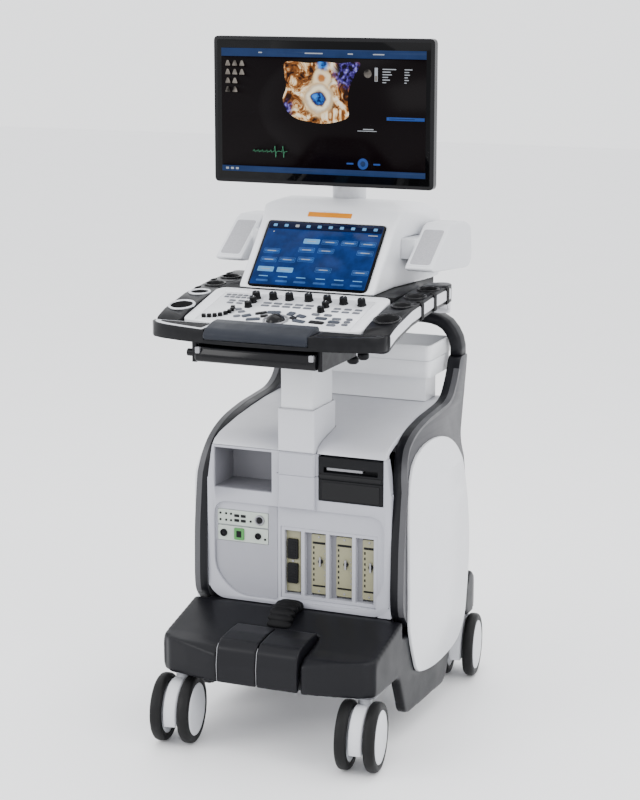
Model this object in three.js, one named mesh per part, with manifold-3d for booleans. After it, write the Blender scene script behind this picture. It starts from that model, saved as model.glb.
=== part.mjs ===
// Cart-style ultrasound machine, in millimetres.
// X runs to the right, Y to the rear and Z up. The origin is on the floor under the middle of the machine.
import * as THREE from "three";
import { mergeVertices } from "three/addons/utils/BufferGeometryUtils.js";
import Module from "manifold-3d";

const wasm = await Module();
wasm.setup();

// ---------------------------------------------------------------- driving dimensions
// Casters: four twin-wheel swivel casters.
const WHEEL_RADIUS = 75;
const WHEEL_WIDTH = 27;
const WHEEL_GAP = 2.5; // between the fork's cheek and a wheel
const FORK_HALF = 15; // half the width of the fork body between the two wheels
const AXLE_RADIUS = 6;
const CASTER_X = 216; // swivel axis from the middle plane
const CASTER_FRONT_Y = -288.5;
const CASTER_REAR_Y = 357.9;
const CASTER_TRAIL = 35; // the axle runs this far in front of its swivel axis
const CASTER_TURN = (8 * Math.PI) / 180; // how far the casters are turned at rest
const CASTER_TOP = 153;

// Base and body.
const BASE_HALF_WIDTH = 250;
const PLATE_BOTTOM = 153.4;
const PLATE_TOP = 171;
const BODY_HALF_WIDTH = 217;
const FRAME_INNER_X = 219.5;
const FRAME_OUTER_X = 250;
const PANEL_OUTER_X = 258;
const FASCIA_FRONT = -148;
const FASCIA_BACK = -124;
const REAR_COVER_FRONT = 258;
const REAR_COVER_BACK = 268;
// The body narrows towards the top: (height, how far each side leans in).
const LEAN = [
  [560, 0],
  [610, 7],
  [650, 14],
  [680, 18],
  [720, 21],
];

// Lift column.
const COLUMN_HALF = 43;
const COLUMN_FRONT = -158;
const COLUMN_BACK = -33;
const COLUMN_WALL = 3.7;
const COLUMN_SEAM_LOW = 582;
const COLUMN_SEAM_MID = 634;
const COLUMN_SEAM_TOP = 731;
const COLUMN_AXIS_Y = -95;
const COLUMN_HEAD = 861.5;

// Console.
const DECK_SLOPE = 50 / 220; // rise of the control deck per millimetre to the rear
const DECK_ANGLE = Math.atan(DECK_SLOPE);
const DECK_FRONT = -300;
const DECK_REAR = -107.5;
const DECK_THICK = 14;
const CONSOLE_HALF = 265;
const RAIL_INNER = 207;
const RAIL_DEPTH = 38;
const HOOD_BOTTOM = 980;
const FACE_FRONT_Y = -104.5;
const FACE_FRONT_Z = 984;
const FACE_ANGLE = (46 * Math.PI) / 180;

// Monitor.
const SCREEN_HALF_WIDTH = 257.5;
const SCREEN_LOW = 1200;
const SCREEN_HIGH = 1519.5;
const SCREEN_FRONT = -10;
const POST_Y = 152.5;
const POST_RADIUS = 38;
const TILT_Y = 66;
const TILT_Z = 1318;

// ---------------------------------------------------------------- helpers
// A three.js geometry as a solid for boolean work.
function toSolid(geometry) {
  const flat = geometry.index ? geometry.toNonIndexed() : geometry.clone();
  flat.deleteAttribute("normal");
  flat.deleteAttribute("uv");
  const merged = mergeVertices(flat, 1e-4);
  const index = merged.index.array;
  const kept = [];
  for (let i = 0; i < index.length; i += 3) {
    const a = index[i];
    const b = index[i + 1];
    const c = index[i + 2];
    if (a !== b && b !== c && a !== c) kept.push(a, b, c);
  }
  const build = (triangles) =>
    new wasm.Manifold(
      new wasm.Mesh({
        numProp: 3,
        vertProperties: new Float32Array(merged.attributes.position.array),
        triVerts: new Uint32Array(triangles),
      }),
    );
  const solid = build(kept);
  if (solid.volume() >= 0) return solid;
  return build(kept.reverse());
}

// A solid as a three.js geometry.
function toGeometry(solid) {
  const mesh = solid.getMesh();
  const geometry = new THREE.BufferGeometry();
  const position = new Float32Array(mesh.vertProperties);
  geometry.setAttribute("position", new THREE.BufferAttribute(position, 3));
  geometry.setIndex(new THREE.BufferAttribute(new Uint32Array(mesh.triVerts), 1));
  geometry.computeVertexNormals();
  return geometry;
}

const group = new THREE.Group();

// Adds one named node to the machine.
function node(name, solid, look) {
  const mesh = new THREE.Mesh(toGeometry(solid), new THREE.MeshStandardMaterial(look));
  mesh.name = name;
  group.add(mesh);
}

const join = (first, ...others) => others.reduce((sum, other) => sum.add(other), first);
const cut = (first, ...others) => others.reduce((rest, other) => rest.subtract(other), first);
const mirror = (points) => points.map(([x, y]) => [-x, y]);
const symmetric = (half) => half.concat(mirror(half).reverse());

// The outline with each corner rounded by a short curve.
function rounded(points, radius, steps = 3) {
  const out = [];
  points.forEach((corner, i) => {
    const before = points[(i + points.length - 1) % points.length];
    const after = points[(i + 1) % points.length];
    const toBefore = Math.hypot(before[0] - corner[0], before[1] - corner[1]);
    const toAfter = Math.hypot(after[0] - corner[0], after[1] - corner[1]);
    const reach = Math.min(radius, toBefore * 0.48, toAfter * 0.48);
    const start = corner.map((v, k) => v + ((before[k] - v) * reach) / toBefore);
    const end = corner.map((v, k) => v + ((after[k] - v) * reach) / toAfter);
    for (let s = 0; s <= steps; s++) {
      const t = s / steps;
      out.push(corner.map((v, k) => (1 - t) ** 2 * start[k] + 2 * t * (1 - t) * v + t * t * end[k]));
    }
  });
  return out;
}

// A closed smooth curve through the points.
function smooth(points, count) {
  const curve = new THREE.CatmullRomCurve3(
    points.map(([a, b]) => new THREE.Vector3(a, b, 0)),
    true,
    "centripetal",
  );
  return curve.getPoints(count).slice(0, -1).map((p) => [p.x, p.y]);
}

const rectangle = (a0, a1, b0, b1) => [
  [a0, b0],
  [a1, b0],
  [a1, b1],
  [a0, b1],
];

// A flat outline pulled up to a slab, with its edges chamfered inside its own size.
function slab(points, length, bevel) {
  const shape = new THREE.Shape(points.map(([a, b]) => new THREE.Vector2(a, b)));
  const geometry = new THREE.ExtrudeGeometry(shape, {
    depth: length - 2 * bevel,
    bevelEnabled: bevel > 0,
    bevelThickness: bevel,
    bevelSize: bevel,
    bevelOffset: -bevel,
    bevelSegments: 1,
    curveSegments: 8,
  });
  return geometry.translate(0, 0, bevel);
}

// Slabs along each axis, from outlines given as (y, z), (x, z) and (x, y).
function alongX(points, x0, x1, bevel = 0) {
  const turn = new THREE.Matrix4().makeBasis(
    new THREE.Vector3(0, 1, 0),
    new THREE.Vector3(0, 0, 1),
    new THREE.Vector3(1, 0, 0),
  );
  return toSolid(slab(points, x1 - x0, bevel).applyMatrix4(turn).translate(x0, 0, 0));
}

function alongY(points, y0, y1, bevel = 0) {
  const turn = new THREE.Matrix4().makeBasis(
    new THREE.Vector3(1, 0, 0),
    new THREE.Vector3(0, 0, 1),
    new THREE.Vector3(0, -1, 0),
  );
  return toSolid(slab(points, y1 - y0, bevel).applyMatrix4(turn).translate(0, y1, 0));
}

function alongZ(points, z0, z1, bevel = 0) {
  return toSolid(slab(points, z1 - z0, bevel).translate(0, 0, z0));
}

// The space between two distances from the middle plane, leaning in with the body's sides.
function leaning(x0, x1) {
  const outer = [[x1, 0], ...LEAN.map(([z, lean]) => [x1 - lean, z]), [x1 - LEAN.at(-1)[1], 1000]];
  if (x0 <= 0) return alongY(symmetric(outer), -500, 500);
  const inner = [[x0, 0], ...LEAN.map(([z, lean]) => [x0 - lean, z]), [x0 - LEAN.at(-1)[1], 1000]];
  return alongY(outer.concat(inner.reverse()), -500, 500);
}

// A box between two corners, rounded in plan when a radius is given.
function box(x0, x1, y0, y1, z0, z1, radius = 0, bevel = 0) {
  const outline = rectangle(x0, x1, y0, y1);
  return alongZ(radius ? rounded(outline, radius) : outline, z0, z1, bevel);
}

// A turned solid from (radius, height) pairs, about the Z axis.
function turned(profile, segments = 20) {
  const points = profile.map(([r, h]) => new THREE.Vector2(r, h));
  return new THREE.LatheGeometry(points, segments).rotateX(Math.PI / 2);
}

const disc = (radius, z0, z1) => [
  [0, z0],
  [radius, z0],
  [radius, z1],
  [0, z1],
];

function post(x, y, z0, z1, radius, segments = 20) {
  return toSolid(turned(disc(radius, z0, z1), segments).translate(x, y, 0));
}

// The height of the control deck's top at a depth.
const deckTop = (y) => 928 + DECK_SLOPE * (y + 333.5);

// Places a geometry made about the origin so that it stands on the control deck.
function onDeck(geometry, x, y, lift = 0) {
  return toSolid(geometry.rotateX(DECK_ANGLE).translate(x, y, deckTop(y) + lift));
}

// ---------------------------------------------------------------- looks
const LIGHT = { color: "#dcdee3", roughness: 0.42, metalness: 0 };
const WHITE = { color: "#eceef2", roughness: 0.4, metalness: 0 };
const GREY = { color: "#c3c4cc", roughness: 0.45, metalness: 0 };
const DARK = { color: "#35363b", roughness: 0.55, metalness: 0 };
const BLACK = { color: "#17181b", roughness: 0.4, metalness: 0 };
const SLATE = { color: "#3c4452", roughness: 0.6, metalness: 0 };
const RUBBER = { color: "#1b1b1d", roughness: 0.8, metalness: 0 };
const STEEL = { color: "#8d8d92", roughness: 0.35, metalness: 0.8 };
const IVORY = { color: "#b5ae92", roughness: 0.5, metalness: 0 };
const GLASS = { color: "#0c0d10", roughness: 0.12, metalness: 0 };
const BLUE = { color: "#0d3f8a", roughness: 0.15, metalness: 0 };

// ---------------------------------------------------------------- casters
// A caster's pieces are made about its swivel axis, then turned and moved to their place.
const atCaster = (x, y, turn) => (solid) => solid.rotate([0, 0, (turn * 180) / Math.PI]).translate([x, y, 0]);

// The fork body: a round fender between the wheels, a stem under the base and the axle.
function casterFork() {
  const fender = [];
  for (let i = 0; i <= 14; i++) {
    const angle = -0.35 + ((Math.PI + 0.7) * i) / 14;
    fender.push([-CASTER_TRAIL + 66 * Math.cos(angle), WHEEL_RADIUS + 66 * Math.sin(angle)]);
  }
  const body = alongX(fender, -FORK_HALF, FORK_HALF, 3);
  const stem = toSolid(
    turned([
      [0, 90],
      [15, 90],
      [15, 149.5],
      [25, 150.5],
      [25, CASTER_TOP],
      [0, CASTER_TOP],
    ]),
  );
  const reach = FORK_HALF + WHEEL_GAP + 18;
  const axle = toSolid(
    turned(disc(AXLE_RADIUS, -reach, reach))
      .rotateY(Math.PI / 2)
      .translate(0, -CASTER_TRAIL, WHEEL_RADIUS),
  );
  return join(body, stem, axle);
}

// One wheel: a tyre with round shoulders, a domed outer cover and a blind bore for the axle.
function casterWheel(side) {
  const inner = FORK_HALF + WHEEL_GAP;
  const outer = inner + WHEEL_WIDTH;
  const bore = AXLE_RADIUS + 0.5;
  const profile = [
    [bore, inner],
    [WHEEL_RADIUS - 5, inner],
    [WHEEL_RADIUS, inner + 8],
    [WHEEL_RADIUS, outer - 8],
    [WHEEL_RADIUS - 5, outer],
    [WHEEL_RADIUS - 17, outer],
    [WHEEL_RADIUS - 19, outer - 2],
    [WHEEL_RADIUS - 22, outer - 1],
    [30, outer + 1],
    [0, outer + 1.5],
    [0, inner + 20],
    [bore, inner + 20],
    [bore, inner],
  ];
  const wheel = turned(profile, 28).rotateY((side * Math.PI) / 2);
  return toSolid(wheel.translate(0, -CASTER_TRAIL, WHEEL_RADIUS));
}

const CASTERS = [
  ["front_left", -CASTER_X, CASTER_FRONT_Y, CASTER_TURN],
  ["front_right", CASTER_X, CASTER_FRONT_Y, CASTER_TURN],
  ["rear_left", -CASTER_X, CASTER_REAR_Y, -CASTER_TURN],
  ["rear_right", CASTER_X, CASTER_REAR_Y, CASTER_TURN],
];
for (const [name, x, y, turn] of CASTERS) {
  const place = atCaster(x, y, turn);
  node(`caster_fork_${name}`, place(casterFork()), GREY);
  node(`caster_wheel_${name}_a`, place(casterWheel(-1)), RUBBER);
  node(`caster_wheel_${name}_b`, place(casterWheel(1)), RUBBER);
}

// ---------------------------------------------------------------- base
// The steel base plate: wide pads over the casters, narrower between them.
const plateHalf = [
  [0, -318],
  [230, -318],
  [243, -305],
  [243, -200],
  [222, -176],
  [222, 176],
  [243, 200],
  [243, 356],
  [228, 372],
  [0, 372],
];
const basePlate = alongZ(rounded(symmetric(plateHalf.slice(1, -1)), 12, 3), PLATE_BOTTOM, PLATE_TOP);
node("base_frame", basePlate, STEEL);

const footrestSide = [
  [-366, 160],
  [-366, 196],
  [-357, 222],
  [-336, 237],
  [-300, 243],
  [-160, 277],
  [-125, 277],
  [-125, 158],
  [-330, 158],
];
const rearBlockSide = [
  [288, 156.5],
  [288, 244],
  [298, 258],
  [318, 262],
  [356, 240],
  [379, 200],
  [381, 172],
  [372, 158],
];
const basePlanHalf = [
  [0, -364],
  [60, -362],
  [120, -355],
  [180, -343],
  [228, -330],
  [247, -315],
  [BASE_HALF_WIDTH, -290],
  [BASE_HALF_WIDTH, 330],
  [243, 362],
  [225, 378],
  [190, 382],
  [0, 382],
];
const basePlan = alongZ(symmetric(basePlanHalf.slice(1, -1)), 0, 400);
const skirtSide = rounded(
  [
    [-318, 166],
    [-175, 156],
    [-132, 62],
    [-104, 54],
    [120, 46],
    [146, 60],
    [162, 100],
    [166, 118],
    [141, 115],
    [41, 113],
    [-42, 125],
    [-76, 138],
    [-99, 175],
    [-108, 238],
    [-160, 262],
    [-318, 232],
  ],
  10,
  3,
);
// The sill runs along each side behind the side panel and ties the front to the rear.
const sillSide = [
  [-130, 172],
  [-60, 110],
  [160, 105],
  [160, 172],
  [300, 172],
  [300, 238],
  [-130, 238],
];
const grownPlate = alongZ(
  rounded(symmetric(plateHalf.slice(1, -1)), 12, 3).map(([x, y]) => [x * 1.004, y * 1.003]),
  100,
  PLATE_TOP + 0.5,
);
const pedalBay = join(
  alongX(rectangle(-400, -243, 195, 300), -102, 93),
  alongX(rectangle(-400, -334, 100, 300), -102, 93),
);
const footrest = alongX(footrestSide, -BASE_HALF_WIDTH, BASE_HALF_WIDTH).intersect(basePlan);
const rearBlock = alongX(rearBlockSide, -BASE_HALF_WIDTH, BASE_HALF_WIDTH).intersect(basePlan);
const skirtRight = join(alongX(skirtSide, 228, BASE_HALF_WIDTH), alongX(sillSide, 219, 249));
const skirtLeft = skirtRight.mirror([1, 0, 0]);
const bodyWell = box(-BODY_HALF_WIDTH - 1, BODY_HALF_WIDTH + 1, -123, 269, 100, 300);
const frameNotch = (side) =>
  box(Math.min(side * 219, side * 260), Math.max(side * 219, side * 260), -151.5, 295, 238.5, 300);
const baseCover = cut(
  join(footrest, rearBlock, skirtRight, skirtLeft),
  pedalBay,
  grownPlate,
  bodyWell,
  frameNotch(1),
  frameNotch(-1),
);
node("base_cover", baseCover, DARK);

// Foot pedals: a top plate with a curved apron in front.
const pedalSide = rounded(
  [
    [-352, 162],
    [-363, 162],
    [-366, 205],
    [-360, 240],
    [-344, 256],
    [-300, 262],
    [-250, 263],
    [-247, 246],
    [-252, 226],
    [-330, 220],
    [-345, 205],
  ],
  6,
  2,
);
node("brake_pedal", alongX(pedalSide, -98, -8), DARK);
node("steer_lock_pedal", alongX(pedalSide, -5, 89), DARK);

// The ribbed rubber boot behind the pedals.
const bootRings = [];
for (let i = 0; i < 4; i++) {
  const z = 264 + i * 6;
  bootRings.push([-38 + i, z], [-38 + i, z + 4], [-34 + i, z + 5]);
}
const bootOutline = bootRings.concat(bootRings.map(([x, z]) => [-22 - x, z]).reverse());
const bootBlock = alongY(bootOutline, -214, -151);
node("pedal_boot", cut(bootBlock, alongX(footrestSide, -60, 40).translate([0, 0, 0.5])), RUBBER);

// ---------------------------------------------------------------- side frames and panels
const frameSide = rounded(
  [
    [-150, 291],
    [-153.5, 329],
    [-150.5, 440],
    [-136, 548],
    [-124, 600],
    [-98, 640],
    [-60, 661],
    [-16, 674],
    [57, 685],
    [140, 690],
    [192, 694],
    [222, 705],
    [243, 724],
    [262, 752],
    [275, 786],
    [324, 786],
    [322, 770],
    [309, 712],
    [276, 655],
    [236, 606],
    [262, 500],
    [280, 400],
    [284, 330],
    [280, 262],
    [262, 240],
    [-104, 243],
  ],
  26,
  4,
);
const panelPoints = [
  [-124.5, 249],
  [-96.5, 179],
  [-74.5, 143],
  [-41.5, 131],
  [41.5, 119],
  [140.5, 121],
  [199.5, 133],
  [227.5, 151],
  [248.5, 177],
  [260.5, 230],
  [269.5, 280],
  [274.5, 349],
  [258.5, 451],
  [226, 543],
  [195, 591],
  [152, 621],
  [92, 638],
  [12, 641],
  [-58, 629],
  [-100, 607],
  [-127, 566],
  [-133.5, 504],
  [-130.5, 391],
  [-128.5, 322],
];
const panelOutline = smooth(panelPoints, 60);
const panelMiddle = [70, 385];
const frameWindow = panelOutline.map(([y, z]) => [
  panelMiddle[0] + (y - panelMiddle[0]) * 0.9,
  Math.max(panelMiddle[1] + (z - panelMiddle[1]) * 0.92, 262),
]);
const sideFrame = cut(
  alongX(frameSide, 150, 300).intersect(leaning(FRAME_INNER_X, FRAME_OUTER_X)),
  alongX(frameWindow, 150, 300),
);
const sidePanel = alongX(panelOutline, 150, 300).intersect(leaning(FRAME_OUTER_X + 0.4, PANEL_OUTER_X));
const sideFrameLeft = sideFrame.mirror([1, 0, 0]);
node("side_frame_right", sideFrame, DARK);
node("side_frame_left", sideFrameLeft, DARK);
node("side_panel_right", sidePanel, WHITE);
node("side_panel_left", sidePanel.mirror([1, 0, 0]), WHITE);

// ---------------------------------------------------------------- front fascia
const fasciaOutline = rounded(
  [
    [-BODY_HALF_WIDTH, 300],
    [-190, 279],
    [190, 279],
    [BODY_HALF_WIDTH, 300],
    [BODY_HALF_WIDTH, 660],
    [-BODY_HALF_WIDTH, 660],
  ],
  16,
  4,
);
const FASCIA_TOP = 632;
const wellOutline = rounded(
  [
    [-203, 505],
    [-203, 340],
    [-150, 289],
    [150, 289],
    [203, 340],
    [203, 505],
  ],
  34,
  5,
);
const STORAGE = [-202, -62, 535, 627];
const PRINTER = [50, 200, 530, 629];
const PHYSIO = [-196, -74, 413, 484];
const PORTS = [-44, 184, 296, 459];
const windowAt = ([x0, x1, z0, z1], grow, y0, y1) =>
  alongY(rectangle(x0 - grow, x1 + grow, z0 - grow, z1 + grow), y0, y1);
const storageBox = cut(
  alongY(rectangle(STORAGE[0] - 4, STORAGE[1] + 4, STORAGE[2] - 4, STORAGE[3] + 4), FASCIA_BACK - 1, -44),
  alongY(rectangle(...STORAGE), FASCIA_BACK - 5, -48),
);
const columnFoot = cut(
  alongY(rectangle(-COLUMN_HALF, COLUMN_HALF, 506, COLUMN_SEAM_MID - 0.5), COLUMN_FRONT, COLUMN_BACK, 3),
  box(
    -COLUMN_HALF + COLUMN_WALL,
    COLUMN_HALF - COLUMN_WALL,
    COLUMN_FRONT + COLUMN_WALL,
    COLUMN_BACK - COLUMN_WALL,
    500,
    700,
  ),
);
const columnSeam = cut(
  box(-50, 50, -170, COLUMN_BACK + 5, COLUMN_SEAM_LOW - 0.75, COLUMN_SEAM_LOW + 0.75),
  box(-41.5, 41.5, COLUMN_FRONT + 1.5, COLUMN_BACK - 1.5, 500, 640),
);
const fasciaPlate = cut(
  alongY(fasciaOutline, FASCIA_FRONT, FASCIA_BACK).intersect(leaning(0, BODY_HALF_WIDTH)),
  box(-BODY_HALF_WIDTH, BODY_HALF_WIDTH, -200, -100, FASCIA_TOP, 700),
  alongY(wellOutline, FASCIA_FRONT - 5, FASCIA_FRONT + 8),
  windowAt(STORAGE, 0, -160, FASCIA_BACK + 5),
  alongY(rectangle(PRINTER[0] - 1, PRINTER[1] + 1, PRINTER[2] - 1, 640), -160, FASCIA_BACK + 5),
  windowAt(PHYSIO, 0.5, -160, FASCIA_BACK + 5),
  windowAt(PORTS, 0.5, -160, FASCIA_BACK + 5),
  box(-COLUMN_HALF + 1, COLUMN_HALF - 1, -160, -100, 507, 700),
);
node("front_fascia", cut(join(fasciaPlate, storageBox, columnFoot), columnSeam), GREY);

// The physiological connector panel with its sockets.
const physioPlate = alongY(
  rectangle(PHYSIO[0], PHYSIO[1], PHYSIO[2], PHYSIO[3]),
  FASCIA_FRONT + 10,
  FASCIA_FRONT + 16,
);
const roundSocket = (x, z, radius, y0) =>
  toSolid(turned(disc(radius, 0, FASCIA_FRONT + 12 - y0), 20).rotateX(-Math.PI / 2).translate(x, y0, z));
const physioSockets = [
  alongY(rectangle(-155, -133, 425, 447), FASCIA_FRONT + 4, FASCIA_FRONT + 12, 1),
  roundSocket(-94, 436, 11, FASCIA_FRONT + 4),
  roundSocket(-94, 468, 8, FASCIA_FRONT + 6),
];
for (let i = 0; i < 5; i++) {
  physioSockets.push(roundSocket(-183 + i * 12, 466, 3.5, FASCIA_FRONT + 7));
}
node("physio_panel", join(physioPlate, ...physioSockets), LIGHT);

// The probe port block: four upright slots between dividers, with the sockets as their floors.
const portBody = alongY(rectangle(PORTS[0], PORTS[1], PORTS[2], PORTS[3]), FASCIA_FRONT + 10, -103);
const portEdges = [-44, 8, 67, 129, 184];
const PORT_FLOOR = -129;
const portSlots = [];
for (let i = 0; i < 4; i++) {
  const x0 = portEdges[i] + 4;
  const x1 = portEdges[i + 1] - 4;
  portSlots.push(alongY(rectangle(x0, x1, 302, 453), FASCIA_FRONT, PORT_FLOOR));
}
node("probe_port_block", cut(portBody, ...portSlots), IVORY);

// The page printer behind its dark front.
const printerBody = join(
  alongY(rounded(rectangle(PRINTER[0], PRINTER[1], PRINTER[2], PRINTER[3]), 2, 2), FASCIA_FRONT - 2, -120, 1),
  box(56, 196, -122, -34, 536, 624),
);
const printerSlots = join(
  alongY(rectangle(62, 188, 594, 606), FASCIA_FRONT - 5, FASCIA_FRONT + 14),
  alongY(rectangle(48, 202, 577.5, 579), FASCIA_FRONT - 5, FASCIA_FRONT + 1),
);
node("printer", cut(printerBody, printerSlots), BLACK);

// ---------------------------------------------------------------- inner chassis and covers
const chassisSide = [
  [-28, 171.6],
  [254, 171.6],
  [254, 656],
  [-28, 636],
];
const chassis = alongX(chassisSide, -205, 205).intersect(leaning(0, BODY_HALF_WIDTH - 6));
node("electronics_chassis", chassis, STEEL);

const topOuter = [
  [-147, 633],
  [-140, 644],
  [-118, 654],
  [-88, 661],
  [-28, 672],
  [47, 681],
  [120, 687],
  [200, 690],
  [270, 691],
];
const topInner = [
  [270, 679],
  [200, 678],
  [120, 675],
  [47, 669],
  [-28, 660],
  [-84, 650],
  [-118, 642],
  [-126, 638],
  [-126, 633],
];
const topCover = cut(
  alongX(topOuter.concat(topInner), -BODY_HALF_WIDTH, BODY_HALF_WIDTH).intersect(
    leaning(0, BODY_HALF_WIDTH),
  ),
  box(-COLUMN_HALF - 1.5, COLUMN_HALF + 1.5, -170, COLUMN_BACK + 1.5, 600, 800),
);
node("top_cover", topCover, LIGHT);
const rearCover = box(-BODY_HALF_WIDTH, BODY_HALF_WIDTH, REAR_COVER_FRONT, REAR_COVER_BACK, 172, 678.5);
node("rear_cover", rearCover.intersect(leaning(0, BODY_HALF_WIDTH)), GREY);

// The storage tray between the handle arms, on its pedestal.
const tray = cut(
  join(
    box(-188, 188, 175, 322, 750, 788, 14),
    box(-189.5, 189.5, 173.5, 323.5, 790, 824, 15),
    box(-186, 186, 177, 320, 787, 791, 14),
    box(-172, 172, 196, 264, 691.5, 751),
  ),
  box(-184, 184, 180, 317, 757, 840, 10),
);
node("rear_tray", tray, WHITE);

// The rear handle: a flattened bar bent to an upside-down U.
const HANDLE_Y = 302;
const handlePoints = [
  [213.7, 786.8],
  [213.7, 799],
  [211, 818],
  [203, 836],
  [186, 857],
  [158, 869],
  [100, 872.5],
];
const handlePath = new THREE.CatmullRomCurve3(
  symmetric(handlePoints).map(([x, z]) => new THREE.Vector3(x, HANDLE_Y, z)),
);
const handleSection = new THREE.Shape(
  rounded(rectangle(-23, 23, -14.5, 14.5), 12, 4).map(([a, b]) => new THREE.Vector2(a, b)),
);
const handleBar = toSolid(
  new THREE.ExtrudeGeometry(handleSection, { steps: 28, extrudePath: handlePath }),
);
node("rear_handle", handleBar, DARK);

// ---------------------------------------------------------------- lift column
node("lift_post", box(-26, 26, -100, -52, 171.6, 800), STEEL);
const midCover = cut(
  alongY(
    rectangle(-COLUMN_HALF, COLUMN_HALF, COLUMN_SEAM_MID + 0.5, COLUMN_SEAM_TOP),
    COLUMN_FRONT,
    COLUMN_BACK,
    3,
  ),
  box(
    -COLUMN_HALF + COLUMN_WALL,
    COLUMN_HALF - COLUMN_WALL,
    COLUMN_FRONT + COLUMN_WALL,
    COLUMN_BACK - COLUMN_WALL,
    600,
    800,
  ),
);
node("column_cover_mid", midCover, WHITE);
const upperCover = cut(
  join(
    box(-38, 38, -153, -38, 600, 856, 6, 0),
    post(0, COLUMN_AXIS_Y, 855, COLUMN_HEAD, 34),
  ),
  box(-33, 33, -148, -43, 500, 848),
);
node("column_cover_upper", upperCover, WHITE);

// ---------------------------------------------------------------- console
// The trackball sits low in the deck, in a round seat of the pan.
const TRACKBALL = [0, -262];
const TRACKBALL_RADIUS = 22;
const TRACKBALL_DROP = 8;
const ballCentre = (y) => deckTop(y) - TRACKBALL_DROP;
const ballAt = (radius) =>
  toSolid(
    new THREE.SphereGeometry(radius, 20, 12).translate(TRACKBALL[0], TRACKBALL[1], ballCentre(TRACKBALL[1])),
  );

const consoleHalf = [
  [60, -373],
  [120, -368],
  [180, -357],
  [225, -345],
  [250, -332],
  [262, -316],
  [CONSOLE_HALF, -300],
  [206, -300],
  [206, 60],
  [176, 110],
  [176, 230],
  [150, 256],
];
const panSide = [
  [-375, 904],
  [-375, 928],
  [-366, 933],
  [DECK_FRONT - 0.5, 934.5],
  [DECK_FRONT - 0.5, 920.5],
  [DECK_REAR + 1, deckTop(DECK_REAR) - DECK_THICK - 0.5],
  [DECK_REAR + 1, HOOD_BOTTOM - 0.5],
  [256, HOOD_BOTTOM - 0.5],
  [256, 954],
  [110, 946],
  [-120, 938],
  [-200, 925],
  [-300, 904],
];
const panPlate = alongX(panSide, -CONSOLE_HALF, CONSOLE_HALF).intersect(
  alongZ(symmetric(consoleHalf), 800, 1100),
);
const drawerRail = (x0, x1) => box(x0, x1, -362, -178, 862, 910);
const hangHook = (y, z) =>
  toSolid(
    turned(
      [
        [0, z - 10],
        [9, z - 10],
        [13, z - 6],
        [13, z + 2],
        [7, z + 8],
        [7, 945],
        [0, 945],
      ],
      18,
    ).translate(130, y, 0),
  );
const latchKnob = toSolid(
  turned(disc(8, 0, 14), 18).rotateY(-Math.PI / 2).translate(-147, -352, 880),
);
const consolePan = cut(
  join(
    panPlate,
    box(-78, 78, -166, -24, 862, 935, 12),
    drawerRail(-147, -137),
    drawerRail(137, 147),
    hangHook(-150, 850),
    hangHook(-90, 848),
    hangHook(17, 846),
    latchKnob,
    box(-32, 32, -294, -228, 903, 918, 10),
  ),
  box(-118, 118, -400, -302, 912, 960),
  ballAt(TRACKBALL_RADIUS + 0.8),
);
node("console_pan", consolePan, BLACK);

const palmSide = rounded(
  [
    [-374, 912.4],
    [-376, 925],
    [-364, 936],
    [-332, 944.5],
    [-303, 946],
    [-303, 912.4],
  ],
  6,
  3,
);
node("palm_rest", alongX(palmSide, -117, 117, 3), SLATE);

// The control deck, with seats for the knobs, the trackball and the key mat.
const KNOB_SEAT = 3;
const TALL_KNOBS = [-92, -53, -16, 28, 72, 110, 152].map((x, i) => [x, -150 - Math.abs(i - 3) * 2]);
const LOW_KNOBS = [
  [-90, -204],
  [-90, -178],
  [78, -204],
  [78, -178],
];
const deckOutline = rounded(
  [
    [-120, -300],
    [120, -300],
    [204, -290],
    [204, -120],
    [190, DECK_REAR],
    [-190, DECK_REAR],
    [-204, -120],
    [-204, -290],
  ],
  14,
  3,
);
const deckBand = alongX(
  [
    [-320, deckTop(-320) - DECK_THICK],
    [-320, deckTop(-320)],
    [-100, deckTop(-100)],
    [-100, deckTop(-100) - DECK_THICK],
  ],
  -CONSOLE_HALF,
  CONSOLE_HALF,
);
const knobSeat = (radius) => turned(disc(radius, -KNOB_SEAT, 10), 16);
const ballWell = post(TRACKBALL[0], TRACKBALL[1], 800, 1000, TRACKBALL_RADIUS + 0.6, 32);
const MAT = [-176, 176, -287, -132];
const MAT_DEEP = 2;
const matSlab = (grow, low, high) =>
  alongX(
    [
      [MAT[2] - grow, deckTop(MAT[2] - grow) - low],
      [MAT[2] - grow, deckTop(MAT[2] - grow) + high],
      [MAT[3] + grow, deckTop(MAT[3] + grow) + high],
      [MAT[3] + grow, deckTop(MAT[3] + grow) - low],
    ],
    MAT[0] - grow,
    MAT[1] + grow,
  );
const seats = TALL_KNOBS.map(([x, y]) => onDeck(knobSeat(11.5), x, y)).concat(
  LOW_KNOBS.map(([x, y]) => onDeck(knobSeat(9.5), x, y)),
);
const deck = cut(
  deckBand.intersect(alongZ(deckOutline, 800, 1100)),
  matSlab(0.4, MAT_DEEP, 10),
  ballWell,
  ...seats,
);
node("console_deck", deck, WHITE);

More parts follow.
